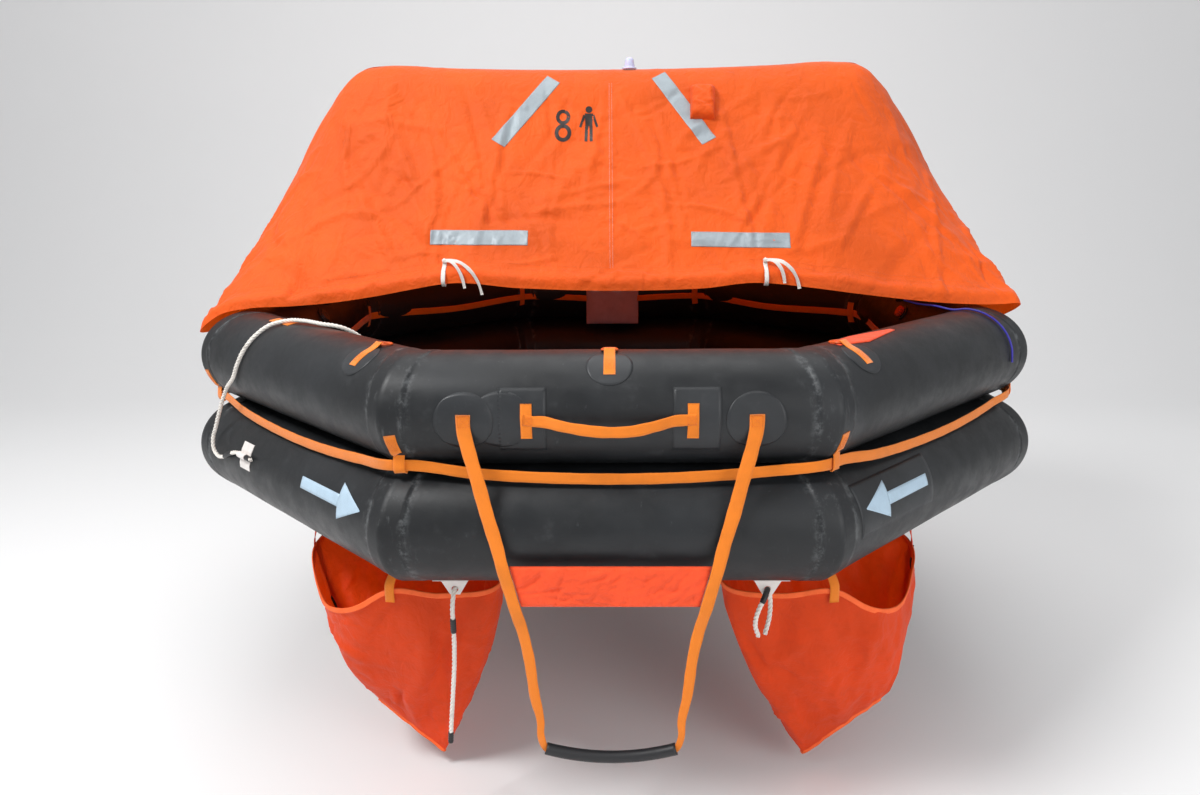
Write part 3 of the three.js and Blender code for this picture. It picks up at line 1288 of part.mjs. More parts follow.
function bagRings(seam, inset) {
  const centre = BAG_RIM.reduce((sum, [p]) => sum.add(p), V(0, 0, 0)).divideScalar(BAG_RIM.length);
  return Array.from({ length: BAG_ROWS + 1 }, (_, row) => {
    const fall = row / BAG_ROWS;
    const ring = BAG_RIM.map(([p, share, side]) => {
      const foot = seam[0].clone().lerp(seam[1], share);
      foot.y += side * BAG_SEAM_HALF;
      const away = V(p.x - centre.x, p.y - centre.y, 0).normalize();
      return p.clone().lerp(foot, fall).addScaledVector(away, BAG_BULGE * Math.sin(Math.PI * fall));
    });
    if (!inset) return ring;
    return ring.map((p, i) => {
      const run = ring[(i + 1) % ring.length].clone().sub(ring[(i + ring.length - 1) % ring.length]);
      const inward = V(-run.y, run.x, 0).normalize();
      return p.clone().addScaledVector(inward, inset);
    });
  });
}

function ballastBag(seam, mirrorX, mirrorY) {
  const outer = bagRings(seam, 0);
  const inner = bagRings(seam, BAG_THICKNESS);
  const lid = inner[0].map((p) => p.clone().add(V(0, 0, 60)));
  const floorRing = inner.at(-1).map((p) => p.clone().add(V(0, 0, 2 * BAG_THICKNESS)));
  const hollow = [lid, ...inner.slice(0, -1), floorRing];
  const bag = solid(loft(outer)).subtract(solid(loft(hollow)));
  const under = TOUCH_GAP + WEBBING_THICKNESS;
  const hang = (face, station, foot, facing) => {
    const top = onFace(face, LOWER_APOTHEM, station, -under);
    const sideways = faceAlong(face).cross(V(0, 0, 1));
    return solid(strap([
      [top.clone().addScaledVector(faceOut(face), 16), V(0, 0, -1), BAG_STRAP_WIDTH],
      [top.clone().addScaledVector(faceOut(face), -2), V(0, 0, -1), BAG_STRAP_WIDTH],
      [top.clone().addScaledVector(faceOut(face), -8).add(V(0, 0, -12)), sideways, BAG_STRAP_WIDTH],
      [foot.clone().add(V(0, 0, 8)), facing, BAG_STRAP_WIDTH],
      [foot.clone().add(V(0, 0, -34)), facing, BAG_STRAP_WIDTH],
    ], WEBBING_THICKNESS));
  };
  const peak = BAG_RIM[2][0];
  const corner = BAG_RIM[10][0];
  const peakStation = V(peak.x, peak.y, 0).dot(faceAlong(FRONT_LEFT));
  const cornerStation = V(corner.x, corner.y, 0).dot(faceAlong(FRONT_LEFT));
  const whole = bag
    .add(hang(FRONT_LEFT, peakStation, peak, V(-0.2, -1, 0)))
    .add(hang(FRONT_LEFT, cornerStation, corner, V(-1, -0.2, 0)));
  const geometry = geometryOf(whole);
  return geometry.applyMatrix4(new THREE.Matrix4().makeScale(mirrorX, mirrorY, 1));
}
add('ballast_bag_front_left', ballastBag(BAG_LEFT_SEAM, 1, 1), bagCloth);
add('ballast_bag_front_right', ballastBag(BAG_RIGHT_SEAM, -1, 1), bagCloth);
add('ballast_bag_rear_left', ballastBag(BAG_LEFT_SEAM, 1, -1), bagCloth);
add('ballast_bag_rear_right', ballastBag(BAG_LEFT_SEAM, -1, -1), bagCloth);

// Gas cylinder in its sling under the floor, with the hoses to both tubes

const CYLINDER_Z = -TOUCH_GAP - SLING_THICKNESS - TOUCH_GAP - CYLINDER_RADIUS;
const HEAD_X = CYLINDER_LENGTH / 2 + 26;

function alongX(profile, x) {
  const geometry = new THREE.LatheGeometry(profile.map(([r, h]) => new THREE.Vector2(r, h)), 16);
  return geometry.rotateZ(-Math.PI / 2).translate(x, CYLINDER_Y, CYLINDER_Z);
}

function gasCylinder() {
  const half = CYLINDER_LENGTH / 2;
  return alongX([
    [0, -half],
    [CYLINDER_RADIUS * 0.55, -half + 3],
    [CYLINDER_RADIUS * 0.92, -half + 22],
    [CYLINDER_RADIUS, -half + 48],
    [CYLINDER_RADIUS, half - 66],
    [CYLINDER_RADIUS * 0.86, half - 34],
    [CYLINDER_RADIUS * 0.5, half - 12],
    [19, half - 4],
    [19, half],
    [0, half],
  ], 0);
}
add('gas_cylinder', gasCylinder(), cylinderPaint);

function cylinderHead() {
  const barrel = solid(alongX([[0, 0], [24, 0], [24, 14], [20, 18], [20, 44], [14, 48], [0, 48]],
    CYLINDER_LENGTH / 2 + TOUCH_GAP));
  const outlet = new THREE.CylinderGeometry(9, 9, 34, 16)
    .translate(HEAD_X, CYLINDER_Y + 17 + 10, CYLINDER_Z);
  const pull = new THREE.CylinderGeometry(8, 8, 30, 12)
    .rotateX(Math.PI / 2)
    .translate(HEAD_X, CYLINDER_Y, CYLINDER_Z - 26);
  return geometryOf(barrel.add(solid(outlet)).add(solid(pull)));
}
add('cylinder_head', cylinderHead(), brass);

function cylinderSling() {
  const inner = CYLINDER_RADIUS + TOUCH_GAP;
  const outer = inner + SLING_THICKNESS;
  const top = -TOUCH_GAP;
  const arc = (radius, from, to, steps) => Array.from({ length: steps + 1 }, (_, i) => {
    const angle = radians(lerp(from, to, i / steps));
    return [CYLINDER_Y + radius * Math.cos(angle), CYLINDER_Z + radius * Math.sin(angle)];
  });
  const half = outer + SLING_FLANGE;
  const profile = [
    [CYLINDER_Y - half, top],
    [CYLINDER_Y - half, top - SLING_THICKNESS],
    [CYLINDER_Y - outer, top - SLING_THICKNESS],
    ...arc(outer, 180, 360, 12),
    [CYLINDER_Y + outer, top - SLING_THICKNESS],
    [CYLINDER_Y + half, top - SLING_THICKNESS],
    [CYLINDER_Y + half, top],
    [CYLINDER_Y + inner, top],
    ...arc(inner / Math.cos(Math.PI / 24), 360, 180, 12),
    [CYLINDER_Y - inner, top],
  ];
  const shape = new THREE.Shape(profile.map(([y, z]) => new THREE.Vector2(y, z)));
  const cover = new THREE.Shape([
    new THREE.Vector2(CYLINDER_Y - half, top),
    new THREE.Vector2(CYLINDER_Y - half, top - SLING_THICKNESS),
    new THREE.Vector2(CYLINDER_Y + half, top - SLING_THICKNESS),
    new THREE.Vector2(CYLINDER_Y + half, top),
  ]);
  const extrude = (outline) => {
    const geometry = new THREE.ExtrudeGeometry(outline, { depth: SLING_LENGTH, bevelEnabled: false });
    return solid(geometry.translate(0, 0, -SLING_LENGTH / 2).applyMatrix4(
      new THREE.Matrix4().makeBasis(V(0, 1, 0), V(0, 0, 1), V(1, 0, 0)),
    ));
  };
  return geometryOf(extrude(shape).add(extrude(cover)));
}
add('cylinder_sling', cylinderSling(), blackRubber);

function inflationHoses() {
  const start = V(HEAD_X, CYLINDER_Y + 44 + TOUCH_GAP, CYLINDER_Z);
  const inletLow = V(LOWER_APOTHEM, CYLINDER_Y + 60, -HOSE_DIAMETER - 4);
  const main = [
    start,
    start.clone().add(V(0, 26, 0)),
    start.clone().add(V(60, 66, 6)),
    V(560, CYLINDER_Y + 100, -46),
    V(860, CYLINDER_Y + 84, -32),
    inletLow.clone().add(V(-90, 6, 0)),
    inletLow,
    inletLow.clone().add(V(80, -4, 2)),
    V(UPPER_APOTHEM + 170, CYLINDER_Y + 50, 30),
    V(UPPER_APOTHEM + 186, CYLINDER_Y + 44, 110),
    V(UPPER_APOTHEM + 184, CYLINDER_Y + 40, 200),
    V(UPPER_APOTHEM + 172, CYLINDER_Y + 38, 290),
    V(UPPER_APOTHEM + UPPER_RADIUS + 26, CYLINDER_Y + 36, UPPER_Z - 40),
    V(UPPER_APOTHEM + UPPER_RADIUS + 20, CYLINDER_Y + 36, UPPER_Z - 4),
  ];
  const run = solid(cord(main, HOSE_DIAMETER, 34));
  const fitting = (length) => new THREE.CylinderGeometry(13, 15, length, 16);
  const lowGap = (LOWER_Z - LOWER_RADIUS * FACET_COS) - TOUCH_GAP;
  const lowLength = lowGap - inletLow.z + HOSE_RADIUS;
  const low = fitting(lowLength).rotateX(-Math.PI / 2)
    .translate(inletLow.x, inletLow.y, inletLow.z - HOSE_RADIUS + lowLength / 2);
  const highSeat = UPPER_APOTHEM + UPPER_RADIUS * FACET_COS + TOUCH_GAP;
  const highLength = 30;
  const high = fitting(highLength).rotateZ(Math.PI / 2)
    .translate(highSeat + highLength / 2, CYLINDER_Y + 36, UPPER_Z);
  return geometryOf(run.add(solid(low)).add(solid(high)));
}
add('inflation_hoses', inflationHoses(), blackRubber);

// Valves on the inside of both tubes

// Places a shape turned about +Z, foot at z = 0, on a tube's flat facing the raft's middle.
function onInside(geometry, tube, face, station, degrees) {
  const radius = tube.radius * FACET_COS + TOUCH_GAP;
  const turned = radians(degrees);
  const out = faceOut(face).multiplyScalar(Math.cos(turned)).add(V(0, 0, Math.sin(turned)));
  const turn = new THREE.Quaternion().setFromUnitVectors(V(0, 0, 1), out.clone().normalize());
  const foot = onFace(face, tube.apothem, station, tube.z).addScaledVector(out, radius);
  return geometry.applyQuaternion(turn).translate(foot.x, foot.y, foot.z);
}

function lathe(profile, segments) {
  const points = profile.map(([r, h]) => new THREE.Vector2(r, h));
  return new THREE.LatheGeometry(points, segments).rotateX(Math.PI / 2);
}

const valveBody = () => lathe([
  [0, 0],
  [VALVE_FLANGE_RADIUS, 0],
  [VALVE_FLANGE_RADIUS - 2, VALVE_FLANGE_HEIGHT],
  [VALVE_NECK_RADIUS, VALVE_FLANGE_HEIGHT + 1],
  [VALVE_NECK_RADIUS, VALVE_FLANGE_HEIGHT + VALVE_NECK_HEIGHT],
  [0, VALVE_FLANGE_HEIGHT + VALVE_NECK_HEIGHT],
], 16);

// A ribbed screw cap over the neck.
function valveCap() {
  const inner = VALVE_NECK_RADIUS + CAP_CLEARANCE;
  const outer = inner + CAP_WALL;
  const shape = new THREE.Shape(Array.from({ length: 2 * CAP_RIBS }, (_, i) => {
    const angle = Math.PI * i / CAP_RIBS;
    const radius = i % 2 ? outer : outer - 1.4;
    return new THREE.Vector2(radius * Math.cos(angle), radius * Math.sin(angle));
  }));
  const foot = VALVE_FLANGE_HEIGHT + 1 + CAP_CLEARANCE;
  const roof = VALVE_FLANGE_HEIGHT + VALVE_NECK_HEIGHT + CAP_CLEARANCE;
  const skin = new THREE.ExtrudeGeometry(shape, { depth: roof + CAP_TOP - foot, bevelEnabled: false });
  skin.translate(0, 0, foot);
  const bore = new THREE.CylinderGeometry(inner, inner, roof - foot + 4, 20)
    .rotateX(Math.PI / 2)
    .translate(0, 0, (roof + foot - 4) / 2);
  return geometryOf(solid(skin).subtract(solid(bore)));
}

const reliefValve = () => lathe([
  [0, 0],
  [RELIEF_RADIUS, 0],
  [RELIEF_RADIUS, 3],
  [RELIEF_RADIUS * 0.75, 5],
  [RELIEF_RADIUS * 0.62, RELIEF_HEIGHT],
  [0, RELIEF_HEIGHT],
], 16);

const VALVE_PLACES = [
  ['upper', UPPER, 150],
  ['lower', LOWER, 180],
];
for (const [which, tube, degrees] of VALVE_PLACES) {
  add(`topping_up_valve_${which}`, onInside(valveBody(), tube, RIGHT, -120, degrees), valvePlastic);
  add(`valve_cap_${which}`, onInside(valveCap(), tube, RIGHT, -120, degrees), capPlastic);
  add(`relief_valve_${which}`, onInside(reliefValve(), tube, LEFT, 120, degrees), valvePlastic);
}

// Lead of the ridge lamp, from under the hem over the tube by the right-hand corner

const overCorner = (station, degrees) => onFace(
  FRONT_RIGHT,
  UPPER_APOTHEM + (UPPER_RADIUS + CABLE_OFF) * Math.cos(radians(degrees)),
  station,
  UPPER_Z + (UPPER_RADIUS + CABLE_OFF) * Math.sin(radians(degrees)),
);
const CABLE_ROUTE = [
  V(868, -432, 566),
  V(905, -446, 557),
  V(950, -468, 553),
  overCorner(352, 104),
  overCorner(366, 88),
  overCorner(374, 70),
  overCorner(380, 52),
  overCorner(384, 34),
  overCorner(386, 16),
  overCorner(386, -2),
];
add('lamp_lead', cord(CABLE_ROUTE, CABLE_DIAMETER, 24), cableBlue);

export default raft;
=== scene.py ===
import math
import bpy
import numpy as np
from mathutils import Matrix, Vector
from mathutils.bvhtree import BVHTree


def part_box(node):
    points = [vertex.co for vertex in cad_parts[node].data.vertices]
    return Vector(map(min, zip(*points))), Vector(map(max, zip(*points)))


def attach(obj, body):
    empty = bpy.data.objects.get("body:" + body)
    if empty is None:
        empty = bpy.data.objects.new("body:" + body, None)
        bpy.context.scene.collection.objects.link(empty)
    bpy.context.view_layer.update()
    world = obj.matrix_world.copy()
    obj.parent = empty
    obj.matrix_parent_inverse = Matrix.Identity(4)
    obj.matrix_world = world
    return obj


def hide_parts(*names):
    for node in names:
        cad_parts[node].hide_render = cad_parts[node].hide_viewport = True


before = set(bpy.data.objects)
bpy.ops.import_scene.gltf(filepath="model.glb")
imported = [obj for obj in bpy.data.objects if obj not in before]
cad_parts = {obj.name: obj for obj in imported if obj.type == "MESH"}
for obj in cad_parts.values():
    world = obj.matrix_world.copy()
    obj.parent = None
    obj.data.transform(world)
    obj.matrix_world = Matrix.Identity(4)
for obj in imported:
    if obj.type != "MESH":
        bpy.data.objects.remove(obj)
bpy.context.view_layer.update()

# Sizes shared with the CAD part, in metres
LOW_A, LOW_R, LOW_Z = 1.100, 0.142, 0.142
FACET = math.cos(math.pi / 24)
UP_A, UP_R = 1.083, 0.1316
UP_Z = LOW_Z + (LOW_R + UP_R) * FACET + 0.0003
LOWER = (LOW_A, LOW_R, LOW_Z)
UPPER = (UP_A, UP_R, UP_Z)
FRONT, FRONT_RIGHT, RIGHT, REAR_RIGHT, REAR, REAR_LEFT, LEFT, FRONT_LEFT = range(8)
TAN = math.tan(math.pi / 8)
ROPE_D = 0.012
SKIN = 0.9965                         # drawn tube radius as a share of the faceted one

# Sizes of what is cut or coiled, in metres: the lengths of the drogue line, the tow loop and the lamp lead
DROGUE_LENGTH, LOOP_LENGTH, LEAD_LENGTH = 0.46, 0.28, 0.40


# Camera, light and stage

def look(position, direction, roll, lens):
    f = Vector(direction).normalized()
    right = f.cross(Vector((0, 0, 1))).normalized()
    up = right.cross(f)
    r = right * math.cos(roll) - up * math.sin(roll)
    u = right * math.sin(roll) + up * math.cos(roll)
    data = bpy.data.cameras.new("camera")
    data.sensor_width = 36.0
    data.lens = lens
    data.clip_end = 60
    camera = bpy.data.objects.new("camera", data)
    rot = Matrix((r, u, -f)).transposed().to_4x4()
    camera.matrix_world = Matrix.Translation(position) @ rot
    bpy.context.scene.collection.objects.link(camera)
    bpy.context.scene.camera = camera


look((0.013, -3.052, 0.927), (-0.0176, 0.9699, -0.2428), 0.0079, 26.46)
bpy.context.scene.view_settings.view_transform = "Standard"


# Shader helpers

class Nodes:
    """A small wrapper that builds one procedural material."""

    def __init__(self, name):
        self.material = bpy.data.materials.new(name)
        self.material.use_nodes = True
        self.tree = self.material.node_tree
        self.tree.nodes.clear()
        self.out = self.tree.nodes.new("ShaderNodeOutputMaterial")

    def add(self, kind, settings=None, **inputs):
        node = self.tree.nodes.new("ShaderNode" + kind)
        for key, value in (settings or {}).items():
            setattr(node, key, value)
        for key, value in inputs.items():
            name = key.replace("_", " ")
            socket = node.inputs[int(key[1:])] if key[0] == "i" and key[1:].isdigit() else node.inputs[name]
            if isinstance(value, bpy.types.NodeSocket):
                self.tree.links.new(value, socket)
            else:
                socket.default_value = value
        return node

    def coords(self, output="Object"):
        return self.add("TexCoord").outputs[output]

    def uv(self):
        return self.add("UVMap", {"uv_map": "UVMap"}).outputs["UV"]

    def scaled(self, vector, scale):
        return self.add("Mapping", {"vector_type": "POINT"}, Vector=vector, Scale=scale).outputs["Vector"]

    def noise(self, vector, scale, detail=4.0, rough=0.55, distortion=0.0):
        return self.add("TexNoise", Vector=vector, Scale=scale, Detail=detail, Roughness=rough,
                        Distortion=distortion).outputs["Fac"]

    def wave(self, vector, scale, direction="X", distortion=0.0, kind="SIN"):
        return self.add("TexWave", {"bands_direction": direction, "wave_profile": kind}, Vector=vector,
                        Scale=scale, Distortion=distortion).outputs["Fac"]

    def math(self, operation, a, b=0.0, clamp=False):
        return self.add("Math", {"operation": operation, "use_clamp": clamp}, i0=a, i1=b).outputs[0]

    def ramp(self, value, low, high, out_low=0.0, out_high=1.0):
        return self.add("MapRange", {"clamp": True, "interpolation_type": "SMOOTHSTEP"}, i0=value, i1=low,
                        i2=high, i3=out_low, i4=out_high).outputs[0]

    def mix(self, factor, a, b):
        node = self.tree.nodes.new("ShaderNodeMix")
        node.data_type = "RGBA"
        for index, value in ((0, factor), (6, a), (7, b)):
            if isinstance(value, bpy.types.NodeSocket):
                self.tree.links.new(value, node.inputs[index])
            else:
                node.inputs[index].default_value = value
        return node.outputs[2]

    def bump(self, height, distance, strength=1.0, normal=None):
        inputs = {"Height": height, "Distance": distance, "Strength": strength}
        if normal is not None:
            inputs["Normal"] = normal
        return self.add("Bump", **inputs).outputs["Normal"]

    def surface(self, color, rough, normal=None, metallic=0.0, sheen=0.0, coat=0.0, specular=0.5, **more):
        node = self.add("BsdfPrincipled", Metallic=metallic, Roughness=rough)
        for key, value in (("Base Color", color), ("Normal", normal), ("Sheen Weight", sheen),
                           ("Coat Weight", coat), ("Specular IOR Level", specular), *more.items()):
            if value is None:
                continue
            if isinstance(value, bpy.types.NodeSocket):
                self.tree.links.new(value, node.inputs[key])
            else:
                node.inputs[key].default_value = value
        return node.outputs[0]

    def finish(self, shader):
        self.tree.links.new(shader, self.out.inputs["Surface"])
        return self.material


def rgb(r, g, b):
    def linear(c):
        c /= 255
        return c / 12.92 if c <= 0.04045 else ((c + 0.055) / 1.055) ** 2.4
    return (linear(r), linear(g), linear(b), 1.0)


def shade(color, factor):
    return (min(color[0] * factor, 1), min(color[1] * factor, 1), min(color[2] * factor, 1), 1.0)


def rubber_material(name, base=(0.0085, 0.0095, 0.0108, 1), seams=False):
    n = Nodes(name)
    at = n.coords()
    cloudy = n.noise(at, 3.2, 6)
    smudge = n.noise(at, 14.0, 5, 0.65)
    color = n.mix(n.ramp(cloudy, 0.38, 0.72), base, shade(base, 1.9))
    color = n.mix(n.ramp(smudge, 0.56, 0.78, 0, 0.35), color, (0.055, 0.058, 0.062, 1))
    scuffs = n.noise(n.scaled(at, (60, 60, 9)), 1.6, 6, 0.7)
    color = n.mix(n.ramp(scuffs, 0.62, 0.74, 0, 0.28), color, (0.10, 0.105, 0.11, 1))
    height = n.math("MULTIPLY", n.noise(at, 900, 2, 0.5), 0.5)
    height = n.math("ADD", height, n.math("MULTIPLY", n.noise(at, 45, 5, 0.6), 1.2))
    rough = n.ramp(smudge, 0.3, 0.75, 0.36, 0.56)
    if seams:
        d = n.add("Attribute", {"attribute_name": "seam"}).outputs["Fac"]
        tape = n.ramp(d, 0.0405, 0.0385)
        edge = n.math("MULTIPLY", n.ramp(d, 0.030, 0.040), n.ramp(d, 0.060, 0.041))
        chalk = n.ramp(n.noise(n.scaled(at, (9, 9, 9)), 3.0, 7, 0.75), 0.46, 0.66)
        color = n.mix(n.math("MULTIPLY", n.math("MULTIPLY", edge, chalk), 0.5), color, (0.17, 0.18, 0.185, 1))
        streak = n.ramp(n.noise(n.scaled(at, (30, 30, 4)), 2.0, 5, 0.7), 0.55, 0.75)
        near = n.ramp(d, 0.09, 0.02)
        color = n.mix(n.math("MULTIPLY", n.math("MULTIPLY", near, streak), 0.32), color, (0.16, 0.165, 0.17, 1))
        rough = n.math("ADD", rough, n.math("MULTIPLY", tape, 0.06))
    normal = n.bump(height, 0.0006, 0.35)
    return n.finish(n.surface(color, rough, normal, specular=0.42))


def cloth_material(name, color, glow=0.22, weave=620.0, crease=True, dirt=0.0):
    n = Nodes(name)
    uv = n.uv()
    at = n.coords()
    tone = n.noise(at, 2.4, 5)
    fine = n.noise(at, 30, 5, 0.6)
    shade_to = shade(color, 0.80)
    c = n.mix(n.ramp(tone, 0.35, 0.7), color, shade_to)
    c = n.mix(n.ramp(fine, 0.5, 0.75, 0, 0.25), c, shade(color, 0.68))
    warp = n.wave(uv, weave, "X")
    weft = n.wave(uv, weave, "Y")
    threads = n.math("MULTIPLY", warp, weft)
    c = n.mix(n.math("MULTIPLY", threads, 0.12), c, shade(color, 0.7))
    if dirt:
        c = n.mix(n.ramp(n.noise(at, 7, 6, 0.7), 0.55, 0.8, 0, dirt), c, (0.08, 0.04, 0.03, 1))
    normal = n.bump(threads, 0.00012, 0.5)
    if crease:
        folds = n.add("TexVoronoi", {"feature": "DISTANCE_TO_EDGE", "voronoi_dimensions": "3D"},
                      Vector=n.scaled(at, (1.0, 1.0, 1.3)), Scale=17.0).outputs["Distance"]
        soft = n.noise(at, 26, 6, 0.62, 0.9)
        ridge = n.math("ABSOLUTE", n.math("SUBTRACT", n.noise(n.scaled(at, (1, 1, 0.55)), 13, 4, 0.55, 1.4), 0.5))
        h = n.math("ADD", n.math("MULTIPLY", n.ramp(folds, 0.0, 0.2), 0.05), n.math("MULTIPLY", soft, 0.7))
        h = n.math("SUBTRACT", h, n.math("MULTIPLY", ridge, 1.1))
        normal = n.bump(h, 0.011, 0.62, normal)
    body = n.surface(c, 0.62, normal, sheen=0.12, specular=0.32)
    if glow:
        back = n.add("BsdfTranslucent", Color=c, Normal=normal).outputs[0]
        body = n.add("MixShader", i0=glow, i1=body, i2=back).outputs[0]
    return n.finish(body)


def webbing_material(name, color):
    n = Nodes(name)
    uv = n.uv()
    at = n.coords()
    parts = n.add("SeparateXYZ", Vector=uv)
    along, across = parts.outputs[0], parts.outputs[1]
    slant = n.add("CombineXYZ", X=n.math("ADD", along, n.math("ABSOLUTE", across)), Y=across, Z=0.0).outputs[0]
    twill = n.wave(slant, 150.0, "X")
    rows = n.wave(uv, 210.0, "Y")
    h = n.math("ADD", n.math("MULTIPLY", twill, 0.7), n.math("MULTIPLY", rows, 0.6))
    c = n.mix(n.math("MULTIPLY", twill, 0.30), color, shade(color, 0.62))
    c = n.mix(n.ramp(n.noise(at, 16, 5, 0.6), 0.42, 0.75, 0, 0.45), c, shade(color, 0.72))
    c = n.mix(n.ramp(n.noise(at, 600, 2), 0.5, 0.8, 0, 0.25), c, shade(color, 1.25))
    return n.finish(n.surface(c, 0.68, n.bump(h, 0.0005, 0.7), sheen=0.25, specular=0.3))


def rope_material(name, color):
    n = Nodes(name)
    uv = n.uv()
    at = n.coords()
    fibre = n.noise(n.scaled(uv, (260, 2600, 1)), 1.0, 3, 0.6)
    c = n.mix(n.ramp(fibre, 0.35, 0.7, 0, 0.5), color, shade(color, 0.62))
    c = n.mix(n.ramp(n.noise(at, 40, 4), 0.5, 0.8, 0, 0.4), c, (0.30, 0.26, 0.22, 1))
    return n.finish(n.surface(c, 0.7, n.bump(fibre, 0.0005, 0.6), sheen=0.3, specular=0.3))


def plain_material(name, color, rough=0.5, metallic=0.0, grain=0.15, scale=180.0, coat=0.0, wear=None, **more):
    n = Nodes(name)
    at = n.coords()
    a = n.noise(at, scale, 4)
    b = n.noise(at, 24, 5, 0.6)
    c = n.mix(n.ramp(b, 0.35, 0.75, 0, 0.5), color, shade(color, 0.72))
    if wear:
        c = n.mix(n.ramp(n.noise(at, 60, 6, 0.75), 0.58, 0.7, 0, 0.6), c, wear)
    r = n.ramp(b, 0.3, 0.7, max(rough - 0.08, 0.05), rough + 0.08)
    return n.finish(n.surface(c, r, n.bump(a, 0.0004, grain), metallic=metallic, coat=coat, **more))


def tape_material(name, color, cells=330.0):
    n = Nodes(name)
    uv = n.uv()
    at = n.coords()
    honey = n.add("TexVoronoi", {"feature": "DISTANCE_TO_EDGE", "voronoi_dimensions": "2D"}, Vector=uv,
                  Scale=cells, Randomness=0.15).outputs["Distance"]
    c = n.mix(n.ramp(n.noise(at, 18, 5, 0.6), 0.35, 0.75, 0, 0.6), color, shade(color, 0.74))
    c = n.mix(n.ramp(honey, 0.12, 0.0, 0, 0.45), c, shade(color, 1.3))
    h = n.math("ADD", n.ramp(honey, 0, 0.1), n.math("MULTIPLY", n.noise(at, 60, 4), 1.5))
    return n.finish(n.surface(c, 0.42, n.bump(h, 0.0006, 0.35), metallic=0.12, specular=0.5))


ORANGE = rgb(255, 100, 10)
M = {
    "tube": rubber_material("tube_rubber", seams=True),
    "rubber": rubber_material("plain_rubber"),
    "patch": rubber_material("patch_rubber", (0.0165, 0.018, 0.02, 1)),
    "canopy": cloth_material("canopy_cloth", ORANGE, 0.24),
    "bag": cloth_material("bag_cloth", rgb(255, 80, 6), 0.3, 520.0, dirt=0.12),
    "step": cloth_material("step_cloth", rgb(255, 84, 36), 0.0, 480.0),
    "piping": plain_material("piping_cloth", rgb(255, 104, 40), 0.7, grain=0.5, scale=700),
    "web": webbing_material("orange_webbing", rgb(246, 132, 22)),
    "white_patch": plain_material("white_patch", rgb(232, 226, 222), 0.6, grain=0.5, scale=420),
    "strip": webbing_material("dark_webbing", (0.012, 0.011, 0.012, 1)),
    "white": webbing_material("white_tape", rgb(236, 230, 224)),
    "rope": rope_material("laid_rope", rgb(240, 234, 226)),
    "thread": rope_material("sewing_thread", rgb(226, 104, 24)),
    "pale_thread": rope_material("pale_thread", rgb(214, 206, 200)),
    "grey": tape_material("reflective_tape", rgb(150, 160, 166)),
    "arrow": tape_material("arrow_tape", rgb(184, 208, 226)),
    "ink": plain_material("printing_ink", (0.02, 0.012, 0.010, 1), 0.6, grain=0.3, scale=500),
    "sleeve": plain_material("shrink_sleeve", (0.014, 0.014, 0.016, 1), 0.38, grain=0.35, scale=260),
    "rung": plain_material("rung_rubber", (0.016, 0.016, 0.018, 1), 0.5, grain=0.4, scale=320),
    "lamp": plain_material("lamp_plastic", rgb(196, 202, 232), 0.22, coat=0.3, **{"Subsurface Weight": 0.3}),
    "clear": plain_material("pouch_film", rgb(206, 176, 188), 0.18, coat=0.5, scale=60, grain=0.5),
    "valve": plain_material("valve_plastic", (0.022, 0.023, 0.025, 1), 0.42, grain=0.3),
    "cap": plain_material("cap_plastic", rgb(216, 74, 28), 0.42, grain=0.3),
    "steel": plain_material("ring_enamel", rgb(226, 92, 28), 0.42, grain=0.3, scale=90, wear=(0.36, 0.33, 0.30, 1)),
    "cylinder": plain_material("cylinder_paint", rgb(92, 100, 106), 0.36, 0.3, coat=0.2, scale=300),
    "brass": plain_material("head_brass", rgb(186, 148, 84), 0.3, 1.0, grain=0.2, scale=400),
    "lead": plain_material("lead_sheath", rgb(52, 46, 150), 0.4, grain=0.3),
}


# Mesh helpers

def put(name, points, faces, material, body="body", replaces=(), uv=None, smooth=True, attribute=None):
    """One mesh piece from points, faces, and per-point UVs in metres."""
    mesh = bpy.data.meshes.new(name)
    mesh.from_pydata([tuple(p) for p in np.asarray(points, float).tolist()], [], faces)
    mesh.validate()
    if uv is not None:
        layer = mesh.uv_layers.new(name="UVMap")
        loops = np.empty(len(mesh.loops), np.int64)
        mesh.loops.foreach_get("vertex_index", loops)
        layer.data.foreach_set("uv", np.asarray(uv, np.float32)[loops].ravel())
    if attribute is not None:
        layer = mesh.attributes.new("seam", "FLOAT", "POINT")
        layer.data.foreach_set("value", np.asarray(attribute, np.float32))
    mesh.materials.append(M[material])
    mesh.polygons.foreach_set("use_smooth", [smooth] * len(mesh.polygons))
    obj = bpy.data.objects.new(name, mesh)
    bpy.context.scene.collection.objects.link(obj)
    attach(obj, body)
    if replaces:
        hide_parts(*([replaces] if isinstance(replaces, str) else replaces))
    return obj


def grid_faces(rows, columns, close_rows=False, close_columns=False, start=0, turn=False):
    i = np.arange(rows if close_rows else rows - 1)
    j = np.arange(columns if close_columns else columns - 1)
    i, j = np.meshgrid(i, j, indexing="ij")
    a = i * columns + j
    b = i * columns + (j + 1) % columns
    c = ((i + 1) % rows) * columns + (j + 1) % columns
    d = ((i + 1) % rows) * columns + j
    quads = np.stack([a, b, c, d] if not turn else [a, d, c, b], -1).reshape(-1, 4) + start
    return quads.tolist()


